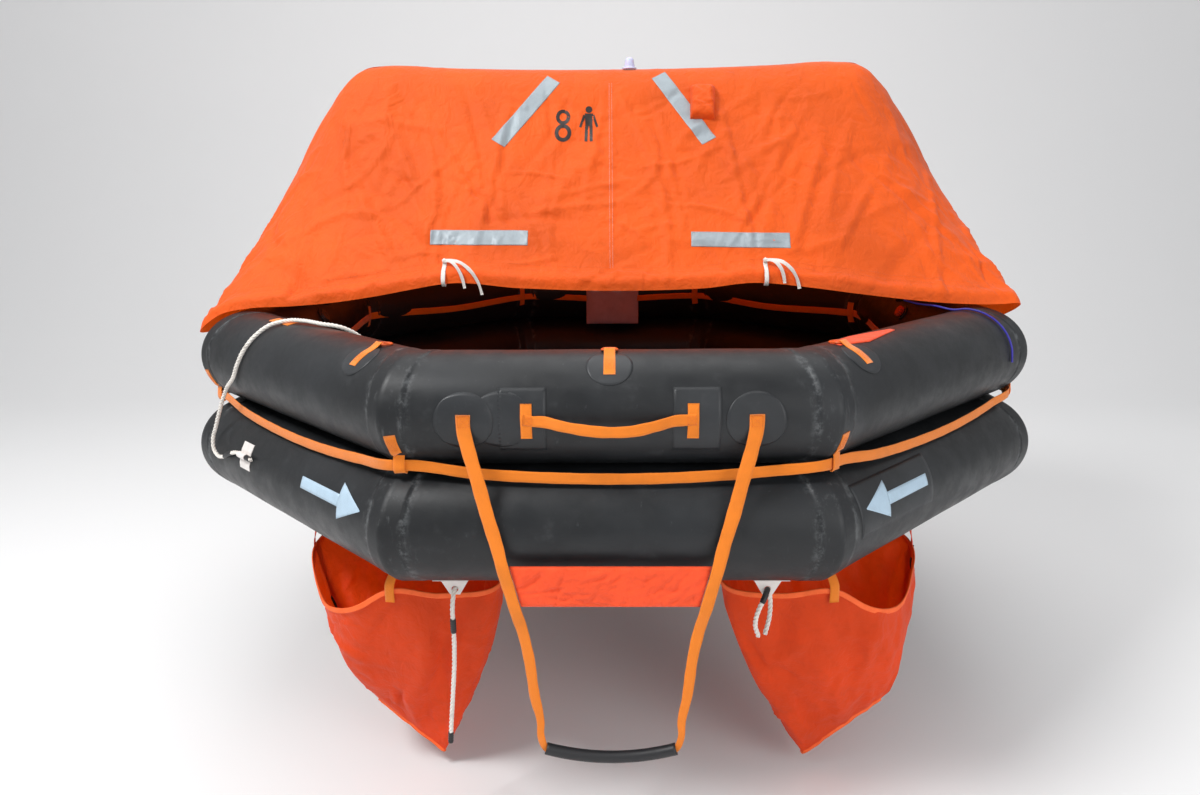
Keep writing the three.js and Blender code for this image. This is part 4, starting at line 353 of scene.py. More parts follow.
def spline(t, y, s):
    """Smooth curve through y at parameters t, taken at s."""
    t, y, s = np.asarray(t, float), np.asarray(y, float), np.asarray(s, float)
    if len(t) == 2:
        w = ((s - t[0]) / (t[1] - t[0])).reshape((-1,) + (1,) * (y.ndim - 1))
        return y[0] * (1 - w) + y[1] * w
    h = np.diff(t)
    d = np.diff(y, axis=0) / h.reshape((-1,) + (1,) * (y.ndim - 1))
    m = np.empty_like(y)
    w = (h[1:] / (h[:-1] + h[1:])).reshape((-1,) + (1,) * (y.ndim - 1))
    m[1:-1] = d[:-1] * w + d[1:] * (1 - w)
    m[0], m[-1] = d[0], d[-1]
    k = np.clip(np.searchsorted(t, s, "right") - 1, 0, len(t) - 2)
    shape = (-1,) + (1,) * (y.ndim - 1)
    u = ((s - t[k]) / h[k]).reshape(shape)
    hk = h[k].reshape(shape)
    return ((1 + 2 * u) * (1 - u) ** 2 * y[k] + u * (1 - u) ** 2 * hk * m[k]
            + u * u * (3 - 2 * u) * y[k + 1] + u * u * (u - 1) * hk * m[k + 1])


def lengths(points):
    return np.concatenate([[0], np.cumsum(np.linalg.norm(np.diff(points, axis=0), axis=-1))])


def resample(points, step, extra=None):
    """Points evenly spaced along a smooth curve through points; extra holds further values at them."""
    points = np.asarray(points, float)
    t = lengths(points)
    fine = np.linspace(0, t[-1], max(int(t[-1] / step) * 4, 16))
    dense = spline(t, points, fine)
    arc = lengths(dense)
    count = max(int(round(arc[-1] / step)), 3) + 1
    s = np.interp(np.linspace(0, arc[-1], count), arc, fine)
    out = spline(t, points, s)
    if extra is None:
        return out
    return out, [np.stack([np.interp(s, t, c) for c in np.asarray(e, float).T], -1) for e in extra]


def unit(v):
    return v / np.maximum(np.linalg.norm(v, axis=-1, keepdims=True), 1e-12)


def tangents(p, closed=False):
    if closed:
        return unit(np.roll(p, -1, 0) - np.roll(p, 1, 0))
    return unit(np.gradient(p, axis=0))


def transport(p, first=None):
    """Two directions square to a curve that turn as little as they can along it."""
    t = tangents(p)
    n = np.empty_like(p)
    ref = np.array([0, 0, 1.0]) if first is None else np.asarray(first, float)
    if abs(t[0] @ ref) > 0.95:
        ref = np.array([1.0, 0, 0])
    n[0] = unit(ref - t[0] * (ref @ t[0]))
    for i in range(1, len(p)):
        v = n[i - 1] - t[i] * (n[i - 1] @ t[i])
        n[i] = v / max(np.linalg.norm(v), 1e-12)
    return n, np.cross(t, n)


def pipe(p, radius, sides=16, closed=False):
    """Points, faces and UVs of a round tube along p; radius may vary along it."""
    p = np.asarray(p, float)
    n, b = transport(p)
    r = np.broadcast_to(np.asarray(radius, float), (len(p),))
    a = np.arange(sides) * 2 * math.pi / sides
    spoke = np.cos(a)[None, :, None] * n[:, None] + np.sin(a)[None, :, None] * b[:, None]
    ring = p[:, None] + r[:, None, None] * spoke
    points = ring.reshape(-1, 3)
    faces = grid_faces(len(p), sides, close_columns=True)
    length = lengths(p)
    uv = np.stack([np.repeat(length, sides), np.tile(a, len(p)) * np.repeat(r, sides)], -1)
    if not closed:
        faces.append(list(range(sides)))
        faces.append([(len(p) - 1) * sides + k for k in reversed(range(sides))])
    return points, faces, uv


def joined(parts):
    """Several (points, faces, uv) as one."""
    points, faces, uvs, start = [], [], [], 0
    for p, f, u in parts:
        points.append(p)
        uvs.append(u)
        faces += [[k + start for k in face] for face in f]
        start += len(p)
    return np.concatenate(points), faces, np.concatenate(uvs)


def laid(p, diameter, pitch=0.034, strands=3, sides=6):
    """A twisted rope along p."""
    p = np.asarray(p, float)
    n, b = transport(p)
    arc = lengths(p)
    parts = []
    for k in range(strands):
        a = arc * 2 * math.pi / pitch + k * 2 * math.pi / strands
        centre = p + diameter * 0.245 * (np.cos(a)[:, None] * n + np.sin(a)[:, None] * b)
        parts.append(pipe(centre, diameter * 0.262, sides))
    return joined(parts)


def on_face(face, apothem, station, z):
    a = math.radians(-90 + 45 * face)
    return np.array([math.cos(a) * apothem - math.sin(a) * station, math.sin(a) * apothem + math.cos(a) * station, z])


def face_out(face):
    a = math.radians(-90 + 45 * face)
    return np.array([math.cos(a), math.sin(a), 0.0])


def face_along(face):
    a = math.radians(-90 + 45 * face)
    return np.array([-math.sin(a), math.cos(a), 0.0])


def on_tube(tube, face, station, degrees, off=0.0):
    a = math.radians(degrees)
    r = tube[1] + off
    return on_face(face, tube[0] + r * math.cos(a), station, tube[2] + r * math.sin(a))


def tube_normal(face, degrees):
    a = math.radians(degrees)
    return face_out(face) * math.cos(a) + np.array([0, 0, math.sin(a)])


def web(name, stations, thickness, material="web", replaces=(), closed=False, step=0.006, body="body",
        rough=0.0004):
    """A flat strap through stations, each a point, the way its face looks, and a width."""
    p = np.array([s[0] for s in stations], float)
    f = unit(np.array([s[1] for s in stations], float))
    w = np.array([[s[2]] for s in stations], float)
    if closed:
        k = 3
        p = np.concatenate([p[-k:], p, p[:k + 1]])
        f = np.concatenate([f[-k:], f, f[:k + 1]])
        w = np.concatenate([w[-k:], w, w[:k + 1]])
        t = lengths(p)
        span = (t[k], t[-k - 1])
        fine = np.linspace(*span, int((span[1] - span[0]) / step) + 1)
        q = spline(t, p, fine)[:-1]
        face = np.stack([np.interp(fine, t, c) for c in f.T], -1)[:-1]
        width = np.interp(fine, t, w[:, 0])[:-1]
    else:
        q, (face, width) = resample(p, step, [f, w])
        width = width[:, 0]
    t = tangents(q, closed)
    side = unit(np.cross(t, face))
    out = np.cross(side, t)
    arc = np.concatenate([[0], np.cumsum(np.linalg.norm(np.diff(q, axis=0), axis=-1))])
    wob = rough * (np.sin(arc * 61 + p[0, 0] * 9) + 0.6 * np.sin(arc * 143 + 1.3))
    section = [(-0.5, -0.2), (-0.485, -0.5), (-0.25, -0.5), (0.25, -0.5), (0.485, -0.5), (0.5, -0.2),
               (0.5, 0.2), (0.485, 0.5), (0.25, 0.5), (-0.25, 0.5), (-0.485, 0.5), (-0.5, 0.2)]
    rings = np.stack([q + side * (a * width + (a * wob))[:, None] + out * (b * thickness + wob * 0.2 * a)[:, None]
                      for a, b in section], 1)
    count = len(section)
    faces = grid_faces(len(q), count, close_rows=closed, close_columns=True)
    if not closed:
        faces.append(list(range(count)))
        faces.append([(len(q) - 1) * count + k for k in reversed(range(count))])
    uv = np.stack([np.repeat(arc, count), (np.array([a for a, _ in section])[None] * width[:, None]).ravel()], -1)
    points, faces = rings.reshape(-1, 3), [f[::-1] for f in faces]
    return put(name, points, faces, material, body, replaces, uv)


def stitches(name, lines, material="thread", length=0.0034, gap=0.0022, radius=0.00045):
    """Rows of short threads; each line is a list of (point, normal)."""
    parts = []
    for line in lines:
        p = np.array([a for a, _ in line], float)
        n = unit(np.array([b for _, b in line], float))
        arc = lengths(p)
        count = int(arc[-1] / (length + gap))
        for k in range(count):
            s = np.linspace(k * (length + gap), k * (length + gap) + length, 4)
            c = np.stack([np.interp(s, arc, x) for x in p.T], -1)
            m = unit(np.stack([np.interp(s, arc, x) for x in n.T], -1))
            c = c + m * (radius * np.array([-0.6, 0.5, 0.5, -0.6]))[:, None]
            parts.append(pipe(c, [radius * 0.5, radius, radius, radius * 0.5], 5))
    points, faces, uv = joined(parts)
    return put(name, points, faces, material, uv=uv)


def lathe(profile, segments=48):
    """Points, faces and UVs of a profile (radius, height) turned about +Z."""
    rings = []
    for r, h in profile:
        a = np.arange(segments) * 2 * math.pi / segments
        rings.append(np.stack([r * np.cos(a), r * np.sin(a), np.full(segments, h)], -1))
    points = np.concatenate(rings)
    faces = grid_faces(len(profile), segments, close_columns=True)
    faces.append(list(range(segments))[::-1])
    faces.append([(len(profile) - 1) * segments + k for k in range(segments)])
    uv = points[:, :2]
    return points, faces, uv


def rounded(profile, radius, steps=4):
    """The profile with its corners rounded."""
    out = [profile[0]]
    for a, b, c in zip(profile[:-2], profile[1:-1], profile[2:]):
        a, b, c = (np.array(x, float) for x in (a, b, c))
        la, lc = np.linalg.norm(a - b), np.linalg.norm(c - b)
        r = min(radius, la * 0.45, lc * 0.45)
        p, q = b + (a - b) / la * r, b + (c - b) / lc * r
        for s in np.linspace(0, 1, steps + 1):
            out.append(tuple(p * (1 - s) ** 2 + b * 2 * s * (1 - s) + q * s * s))
    out.append(profile[-1])
    return out


def placed(points, matrix):
    m = np.array(matrix)
    return points @ m[:3, :3].T + m[:3, 3]


def creases(q, count, length, width, height, seed, heading=None, spread=math.pi, area=None):
    """Sharp folds of packed cloth at the flat points q: a sum of short tents."""
    g = np.random.default_rng(seed)
    low, high = (q.min(0), q.max(0)) if area is None else area
    total = np.zeros(len(q))
    for _ in range(count):
        c = low + g.random(2) * (high - low)
        a = (g.random() - 0.5) * 2 * spread + (heading if heading is not None else 0)
        reach = length * (0.5 + g.random())
        wide = width * (0.5 + g.random())
        bend = g.normal() * 0.22 / reach
        tall = height * (0.25 + 0.75 * g.random()) * (1 if g.random() < 0.6 else -1)
        d = q - c
        near = np.abs(d).max(1) < reach + wide
        d = d[near]
        u = d[:, 0] * math.cos(a) + d[:, 1] * math.sin(a)
        v = -d[:, 0] * math.sin(a) + d[:, 1] * math.cos(a) + bend * u * u
        tent = np.clip(1 - np.abs(v) / wide, 0, 1) * np.clip(1 - (u / reach) ** 2, 0, 1)
        total[near] += tall * tent
    return total


def fold(q, a, b, width, height, power=1.0):
    """One long fold from a to b at the flat points q."""
    a, b = np.array(a, float), np.array(b, float)
    run = b - a
    size = np.linalg.norm(run)
    run /= size
    d = q - a
    u = (d @ run) / size
    v = d[:, 0] * -run[1] + d[:, 1] * run[0]
    end = np.clip(np.minimum(u, 1 - u) * 4, 0, 1)
    return height * np.clip(1 - np.abs(v) / width, 0, 1) ** power * np.where((u > 0) & (u < 1), end, 0)


def normals_of(grid):
    du = np.gradient(grid, axis=0)
    dv = np.gradient(grid, axis=1)
    return unit(np.cross(du, dv))


# Stage: pale sweep and soft light

def stage():
    n = Nodes("backdrop")
    at = n.coords()
    tone = n.mix(n.noise(at, 0.6, 3), (0.84, 0.84, 0.84, 1), (0.86, 0.86, 0.86, 1))
    M["backdrop"] = n.finish(n.surface(tone, 0.9, specular=0.1))
    bend = [(-9, -0.68), (3.2, -0.68)]
    bend += [(3.2 + 2.4 * math.sin(a), 1.72 - 2.4 * math.cos(a)) for a in np.linspace(0.1, math.pi / 2, 14)]
    bend.append((5.6, 8.0))
    profile = np.array(bend)
    xs = np.linspace(-14, 14, 3)
    points = np.array([(x, y, z) for y, z in profile for x in xs])
    mesh = bpy.data.meshes.new("backdrop")
    mesh.from_pydata(points.tolist(), [], grid_faces(len(profile), 3, turn=True))
    mesh.materials.append(M["backdrop"])
    mesh.polygons.foreach_set("use_smooth", [True] * len(mesh.polygons))
    sweep = bpy.data.objects.new("backdrop", mesh)
    bpy.context.scene.collection.objects.link(sweep)
    world = bpy.data.worlds.new("world")
    bpy.context.scene.world = world
    world.use_nodes = True
    t = world.node_tree
    t.nodes.clear()
    out = t.nodes.new("ShaderNodeOutputWorld")
    paths = t.nodes.new("ShaderNodeLightPath")
    seen = t.nodes.new("ShaderNodeMath")
    seen.operation = "MAXIMUM"
    soft = t.nodes.new("ShaderNodeBackground")
    soft.inputs[0].default_value = (0.97, 0.98, 1.0, 1)
    soft.inputs[1].default_value = 0.50
    white = t.nodes.new("ShaderNodeBackground")
    white.inputs[0].default_value = (0.93, 0.93, 0.93, 1)
    mix = t.nodes.new("ShaderNodeMixShader")
    t.links.new(paths.outputs["Is Camera Ray"], seen.inputs[0])
    t.links.new(paths.outputs["Is Transmission Ray"], seen.inputs[1])
    t.links.new(seen.outputs[0], mix.inputs[0])
    t.links.new(soft.outputs[0], mix.inputs[1])
    t.links.new(white.outputs[0], mix.inputs[2])
    t.links.new(mix.outputs[0], out.inputs["Surface"])

    def area(name, at, target, size, power, tint=(1, 1, 1)):
        data = bpy.data.lights.new(name, "AREA")
        data.shape = "RECTANGLE"
        data.size, data.size_y = size
        data.energy = power
        data.color = tint
        lamp = bpy.data.objects.new(name, data)
        lamp.location = at
        lamp.rotation_euler = (Vector(target) - Vector(at)).to_track_quat("-Z", "Y").to_euler()
        bpy.context.scene.collection.objects.link(lamp)

    area("key", (-2.8, -2.6, 4.2), (0, 0, 0.6), (1.5, 1.2), 210)
    area("fill", (3.0, -4.4, 1.6), (0, 0, 0.3), (3.0, 3.0), 75)
    area("top", (0, 0.6, 5.2), (0, 0, 0), (4.5, 4.5), 110)


stage()


def table(text, rows):
    """A typed grid of points in millimetres, in metres."""
    return np.array(text.split(), float).reshape(rows, -1, 3) / 1000


FRONT_GRID = table("""
-1143 0 593  -1149 0 582  -1155 0 571  -1161 0 560  -1167 0 549  -1173 0 538  -1179 0 527  -1185 0 516
-1191 0 505  -1201 0 487  -1206 0 469  -1110 0 740  -1110 -8 740  -1109 -16 740  -1123 -49 701  -1136 -83
662  -1150 -116 622  -1164 -149 583  -1178 -183 544  -1191 -216 505  -1201 -216 487  -1206 -216 469  -1072 0
916  -1071 -8 916  -1070 -16 915  -1095 -78 847  -1120 -139 777  -1145 -203 711  -1170 -270 648  -1195 -340
587  -1220 -409 526  -1228 -440 514  -1236 -452 484  -1018 0 1000  -1018 -8 999  -1017 -16 999  -1041 -79
925  -1064 -141 851  -1087 -205 779  -1111 -273 710  -1134 -344 644  -1157 -415 578  -1165 -445 565  -1172
-456 534  -956 0 1097  -955 -19 1096  -950 -37 1093  -970 -98 1008  -989 -157 923  -1009 -220 839  -1029
-286 759  -1049 -356 681  -1068 -424 603  -1074 -453 587  -1080 -462 555  -894 0 1195  -890 -31 1192  -878
-59 1182  -889 -117 1084  -900 -175 986  -911 -236 890  -922 -301 797  -933 -369 705  -944 -436 613  -947
-464 595  -950 -470 562  -821 0 1265  -816 -43 1255  -802 -76 1228  -806 -133 1125  -810 -190 1021  -815
-249 919  -819 -313 820  -823 -380 723  -828 -446 625  -829 -473 605  -830 -478 572  -722 0 1284  -721 -45
1273  -719 -79 1240  -716 -136 1138  -713 -192 1035  -710 -251 934  -707 -315 836  -704 -381 740  -702 -447
643  -701 -475 623  -700 -480 590  -619 0 1280  -619 -44 1268  -618 -78 1237  -616 -135 1138  -613 -191 1039
-610 -250 941  -607 -314 846  -604 -381 754  -602 -447 660  -601 -474 641  -600 -480 608  -517 0 1275  -517
-44 1264  -518 -77 1234  -513 -134 1139  -508 -190 1043  -503 -250 949  -498 -313 857  -493 -380 768  -488
-446 679  -486 -474 660  -485 -480 627  -258 0 1268  -258 -44 1257  -259 -77 1227  -260 -134 1130  -261 -190
1033  -262 -250 938  -263 -313 846  -264 -380 756  -264 -446 665  -265 -474 646  -265 -480 613  0 0 1266  0
-44 1255  0 -77 1224  0 -134 1126  0 -191 1028  0 -250 932  0 -314 839  0 -380 748  0 -446 656  0 -474 637
0 -480 604  258 0 1268  258 -44 1257  259 -77 1226  259 -134 1129  259 -191 1032  259 -250 936  260 -314 843
260 -380 752  260 -446 661  260 -474 642  260 -480 609  517 0 1275  517 -44 1264  518 -77 1234  508 -134
1138  497 -190 1042  487 -250 947  477 -313 855  466 -380 766  456 -446 676  453 -474 657  450 -480 624  619
0 1280  619 -44 1268  618 -78 1237  614 -135 1138  610 -191 1039  605 -250 942  601 -314 847  597 -381 754
592 -447 661  591 -474 642  590 -480 609  722 0 1284  721 -45 1273  719 -78 1240  716 -135 1139  713 -192
1036  710 -251 936  707 -315 839  704 -381 743  702 -447 647  701 -475 627  700 -480 594  821 0 1265  816
-43 1256  802 -76 1229  811 -133 1126  820 -189 1022  829 -249 920  838 -312 821  846 -379 724  855 -446 627
858 -473 607  860 -478 574  894 0 1195  890 -30 1192  879 -57 1183  894 -115 1085  908 -173 987  923 -235
890  938 -300 797  952 -368 705  967 -436 613  971 -464 595  975 -470 562  956 0 1097  955 -18 1096  950 -36
1093  972 -96 1009  993 -156 923  1014 -219 840  1035 -286 760  1056 -355 682  1078 -424 604  1084 -453 588
1090 -462 556  1018 0 1000  1018 -9 999  1017 -18 999  1037 -80 928  1057 -141 857  1077 -206 789  1097 -273
724  1117 -344 662  1137 -413 599  1144 -444 587  1150 -456 556  1072 0 916  1071 -8 916  1070 -16 915  1090
-78 858  1110 -139 800  1130 -202 745  1150 -268 694  1171 -337 645  1191 -405 596  1198 -437 587  1205 -452
558  1110 0 740  1110 -8 740  1109 -16 740  1123 -49 701  1136 -83 662  1150 -116 622  1164 -149 583  1178
-183 544  1191 -216 505  1201 -216 487  1206 -216 469  1143 0 593  1149 0 582  1155 0 571  1161 0 560  1167
0 549  1173 0 538  1179 0 527  1185 0 516  1191 0 505  1201 0 487  1206 0 469
""", 23)
REAR_GRID = table("""
1143 0 593  1149 0 582  1155 0 571  1161 0 560  1167 0 549  1173 0 538  1179 0 527  1185 0 516  1191 0 505
1201 0 487  1206 0 469  1110 0 740  1110 8 740  1109 16 740  1123 49 701  1136 83 662  1150 116 622  1164
149 583  1178 183 544  1191 216 505  1201 216 487  1206 216 469  1072 0 916  1071 8 916  1070 16 915  1088
94 846  1105 173 776  1123 252 708  1144 331 641  1165 411 576  1186 491 510  1199 497 490  1206 500 469
983 0 1056  981 19 1054  976 37 1051  967 150 959  957 262 866  949 375 775  944 492 688  941 610 604  938
728 518  950 741 495  958 748 469  894 0 1195  892 24 1193  884 47 1187  873 175 1070  862 303 953  852 434
838  846 567 728  842 703 620  838 838 512  847 847 491  853 853 469  821 0 1265  818 30 1260  811 57 1247
788 207 1119  764 356 990  743 508 865  725 664 745  711 823 629  696 981 511  705 990 491  710 996 469  722
0 1284  722 27 1280  721 52 1268  678 231 1139  636 410 1008  595 593 882  557 781 762  520 974 645  483
1166 528  493 1191 501  500 1206 469  517 0 1275  517 26 1272  517 50 1260  476 227 1134  435 403 1006  393
583 883  352 770 765  310 962 652  269 1152 537  269 1186 507  269 1206 469  258 0 1268  258 26 1264  259 50
1253  238 227 1128  217 403 1002  197 583 879  176 770 763  155 961 651  135 1152 537  135 1185 507  135
1206 469  0 0 1266  0 26 1262  0 50 1251  0 227 1126  0 403 1000  0 583 878  0 770 762  0 961 650  0 1151
538  0 1185 508  0 1206 469  -258 0 1268  -258 26 1264  -259 50 1253  -238 227 1128  -217 403 1002  -197 583
879  -176 770 763  -155 961 651  -135 1152 537  -135 1185 507  -135 1206 469  -517 0 1275  -517 26 1272
-517 50 1260  -476 227 1134  -435 403 1006  -393 583 883  -352 770 765  -310 962 652  -269 1152 537  -269
1186 507  -269 1206 469  -722 0 1284  -722 27 1280  -721 52 1268  -678 231 1139  -636 410 1008  -595 593 882
-557 781 762  -520 974 645  -483 1166 528  -493 1191 501  -500 1206 469  -821 0 1265  -818 30 1260  -811 57
1247  -788 207 1119  -764 356 990  -743 508 865  -725 664 745  -711 823 629  -696 981 511  -705 990 491
-710 996 469  -894 0 1195  -892 24 1193  -884 47 1187  -873 175 1070  -862 303 953  -852 434 838  -846 567
728  -842 703 620  -838 838 512  -847 847 491  -853 853 469  -983 0 1056  -981 19 1054  -976 37 1051  -967
150 959  -957 262 866  -949 375 775  -944 492 688  -941 610 604  -938 728 518  -950 741 495  -958 748 469
-1072 0 916  -1071 8 916  -1070 16 915  -1088 94 846  -1105 173 776  -1123 252 708  -1144 331 641  -1165 411
576  -1186 491 510  -1199 497 490  -1206 500 469  -1110 0 740  -1110 8 740  -1109 16 740  -1123 49 701
-1136 83 662  -1150 116 622  -1164 149 583  -1178 183 544  -1191 216 505  -1201 216 487  -1206 216 469
-1143 0 593  -1149 0 582  -1155 0 571  -1161 0 560  -1167 0 549  -1173 0 538  -1179 0 527  -1185 0 516
-1191 0 505  -1201 0 487  -1206 0 469
""", 19)
ARCH = table("""
-1083 0 435  -985 0 880  -822 0 1136  -777 0 1180  -715 0 1192  -520 0 1183  -260 0 1176  0 0 1174  260 0
1176  520 0 1183  715 0 1192  777 0 1180  822 0 1136  985 0 880  1083 0 435
""", 1)[0]


# Buoyancy tubes: smooth sections with a tape round each mitre joint

def ring_tube(name, tube, node, sides=72):
    apothem, radius, height = tube
    band = 0.040
    from_seam = np.array([0, 0.008, 0.018, 0.028, 0.035, 0.0395, 0.0405, 0.047, 0.058, 0.075, 0.10, 0.14, 0.19,
                          0.25, 0.31, 0.37])
    half = apothem * TAN * math.cos(math.pi / 8)
    share = np.concatenate([-(1 - from_seam / half), (1 - from_seam / half)[::-1][:-1]])
    gap = np.concatenate([from_seam, from_seam[::-1][:-1]])
    angle = np.arange(sides) * 2 * math.pi / sides
    cos, sin = np.cos(angle), np.sin(angle)
    points, seam, uv = [], [], []
    for face in range(8):
        out, along = face_out(face), face_along(face)
        for s, g in zip(share, gap):
            r = np.full(sides, radius * SKIN)
            if g < band:
                r += 0.0011
            inner = np.clip(-cos, 0, 1) ** 1.5
            pucker = math.exp(-((g - 0.062) / 0.024) ** 2)
            r += inner * pucker * 0.0011 * np.sin(angle * 23 + face * 1.7)
            r += 0.0004 * np.sin(angle * 5 + face * 2.1 + s * 9) * min(g / 0.1, 1)
            a = apothem + r * cos
            station = s * a * TAN
            points.append(out[None] * a[:, None] + along[None] * station[:, None]
                          + np.array([0, 0, 1.0]) * (height + r * sin)[:, None])
            seam.append(np.full(sides, g))
            uv.append(np.stack([station + face * 0.9, angle * radius], -1))
    rows = len(share) * 8
    faces = grid_faces(rows, sides, close_rows=True, close_columns=True, turn=True)
    return put(name, np.concatenate(points), faces, "tube", replaces=node,
               uv=np.concatenate(uv), attribute=np.concatenate(seam))


ring_tube("lower_tube_skin", LOWER, "lower_buoyancy_tube")
ring_tube("upper_tube_skin", UPPER, "upper_buoyancy_tube")


def tube_spread(name, tube, face, station, degrees, flat, off, material, replaces=()):
    """A thin piece bonded to a tube; flat is a grid of (along, round) offsets in metres, its rim row by row."""
    rows, columns, _ = flat.shape
    a = np.radians(degrees) + flat[..., 1] / tube[1]
    r = tube[1] * SKIN + off
    out = tube[0] + r * np.cos(a)
    top = (face_out(face) * out[..., None] + face_along(face) * (station + flat[..., 0])[..., None]
           + np.array([0, 0, 1.0]) * (tube[2] + r * np.sin(a))[..., None])
    normal = face_out(face) * np.cos(a)[..., None] + np.array([0, 0, 1.0]) * np.sin(a)[..., None]
    base = top - normal * (off - 0.00012)
    edge = ([(0, j) for j in range(columns)] + [(i, columns - 1) for i in range(1, rows)]
            + [(rows - 1, j) for j in range(columns - 2, -1, -1)] + [(i, 0) for i in range(rows - 2, 0, -1)])
    verts = list(top.reshape(-1, 3)) + [base[i, j] for i, j in edge]
    faces = grid_faces(rows, columns, turn=True)
    n, start = len(edge), rows * columns
    for k, (i, j) in enumerate(edge):
        i2, j2 = edge[(k + 1) % n]
        faces.append([i * columns + j, i2 * columns + j2, start + (k + 1) % n, start + k])
    uv = np.concatenate([flat.reshape(-1, 2), np.array([flat[i, j] for i, j in edge])])
    return put(name, np.array(verts), faces, material, replaces=replaces, uv=uv)


def square_grid(width, height, rows=9, columns=17, corner=0.0):
    """A rectangle with rounded corners as a grid of flat offsets."""
    u, v = np.meshgrid(np.linspace(-1, 1, columns), np.linspace(-1, 1, rows))
    if corner:
        u, v = (u * (1 - corner * v ** 2 * (abs(u) > 0) * 0.5 * np.abs(u) ** 6 * 0.6),
                v * (1 - corner * u ** 2 * 0.5 * np.abs(v) ** 6 * 0.6))
    return np.stack([u * width / 2, v * height / 2], -1)


def disc_grid(radius, rows=15, columns=15):
    """A round patch as a grid: a square bent to a circle."""
    u, v = np.meshgrid(np.linspace(-1, 1, columns), np.linspace(-1, 1, rows))
    x = u * np.sqrt(1 - v * v / 2)
    y = v * np.sqrt(1 - u * u / 2)
    return np.stack([x * radius, y * radius], -1)


# CAD solids that stay, with their own materials

def recolour(node, material):
    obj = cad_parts[node]
    for slot in obj.material_slots:
        slot.material = M[material]


recolour("raft_floor", "rubber")
recolour("cylinder_sling", "rubber")
recolour("cylinder_head", "brass")
recolour("painter_patch", "white_patch")

# Arch tube under the canopy

arch_line = resample(ARCH, 0.01)
points, faces, uv = pipe(arch_line, 0.0845, 48)
put("arch_skin", points, faces, "tube", replaces="arch_tube", uv=uv,
    attribute=np.full(len(points), 0.5))


# Canopy panels: one continuous sheet each, with the tension folds and packing creases of the photograph

def upsample(grid, columns, rows):
    mid = grid[:, grid.shape[1] // 2]
    t = lengths(mid)
    fine = spline(t, grid, np.linspace(0, t[-1], columns))
    v = lengths(fine[len(fine) // 2])
    return np.swapaxes(spline(v, np.swapaxes(fine, 0, 1), np.linspace(0, v[-1], rows)), 0, 1)


def flat_of(grid):
    """Rough flat coordinates of a sheet: distance along it both ways, in metres."""
    u = lengths(grid[:, grid.shape[1] // 3])
    v = np.stack([lengths(c) for c in grid])
    return np.stack([np.broadcast_to(u[:, None], v.shape), v], -1)


def off_arch(points, clear=0.0885):
    """Points that lie inside the arch tube moved out to its surface."""
    gap = points[:, None] - arch_line[None]
    near = np.argmin((gap ** 2).sum(-1), axis=1)
    away = gap[np.arange(len(points)), near]
    reach = np.linalg.norm(away, axis=1, keepdims=True)
    return np.where(reach < clear, arch_line[near] + away / reach * clear, points)


def canopy(name, node, control, columns, rows, seed, folds, hem):
    grid = upsample(control, columns, rows)
    q = flat_of(grid)
    x, z = grid[..., 0], grid[..., 2]
    flat = q.reshape(-1, 2)
    rise = creases(flat, 190, 0.15, 0.017, 0.0085, seed)
    rise += creases(flat, 620, 0.055, 0.010, 0.0042, seed + 1)
    rise += creases(flat, 60, 0.34, 0.028, 0.0100, seed + 2, heading=math.pi / 2, spread=0.7)
    world = np.stack([x.ravel(), z.ravel()], -1)
    for a, b, width, height in folds:
        rise += fold(world, a, b, width, height)
        rise -= fold(world, (a[0] + 0.022, a[1]), (b[0] + 0.018, b[1]), width * 0.8, height * 0.6)
    rise = rise.reshape(x.shape)
    v = q[..., 1]
    total = v[:, -1:]
    seat = np.clip((v - 0.11) / 0.09, 0, 1)
    end = np.clip((total - v) / 0.05, 0.25 if hem else 0.15, 1)
    side = np.clip(np.minimum(q[..., 0], q[-1, 0, 0] - q[..., 0]) / 0.06, 0.1, 1)
    normal = normals_of(grid)
    if normal[columns // 2, rows // 2, 1] * (1 if "rear" in name else -1) < 0:
        normal = -normal
    calm = 0.15 + 0.85 * seat
    moved = grid + normal * (rise * calm * end * side - 0.0004)[..., None]
    moved = off_arch(moved.reshape(-1, 3)).reshape(moved.shape)
    turn = "rear" in name
    faces = grid_faces(columns, rows, turn=turn)
    obj = put(name, moved.reshape(-1, 3), faces, "canopy", replaces=node, uv=flat)
    return obj, moved, normal, q


CENTRE_FOLDS = [((0.006, 1.20), (0.0, 0.665), 0.010, 0.0035),
                ((-0.676, 1.074), (-0.505, 0.669), 0.030, 0.010), ((0.676, 1.074), (0.520, 0.660), 0.030, 0.010),
                ((-0.308, 1.21), (-0.416, 0.668), 0.024, 0.008), ((0.330, 1.21), (0.430, 0.668), 0.024, 0.008),
                ((-0.60, 1.15), (-0.30, 0.68), 0.022, 0.006), ((0.62, 1.14), (0.34, 0.70), 0.022, 0.006),
                ((-0.80, 0.92), (-0.62, 0.66), 0.026, 0.009), ((0.81, 0.92), (0.64, 0.66), 0.026, 0.009),
                ((-0.93, 0.80), (-0.98, 0.52), 0.020, 0.007), ((0.93, 0.80), (0.98, 0.52), 0.020, 0.007),
                ((-0.15, 1.20), (-0.22, 0.70), 0.016, 0.004), ((0.14, 1.20), (0.23, 0.70), 0.016, 0.004)]
front, front_points, front_normals, front_flat = canopy(
    "canopy_front_cloth", "canopy_front", FRONT_GRID, 340, 130, 31, CENTRE_FOLDS, True)
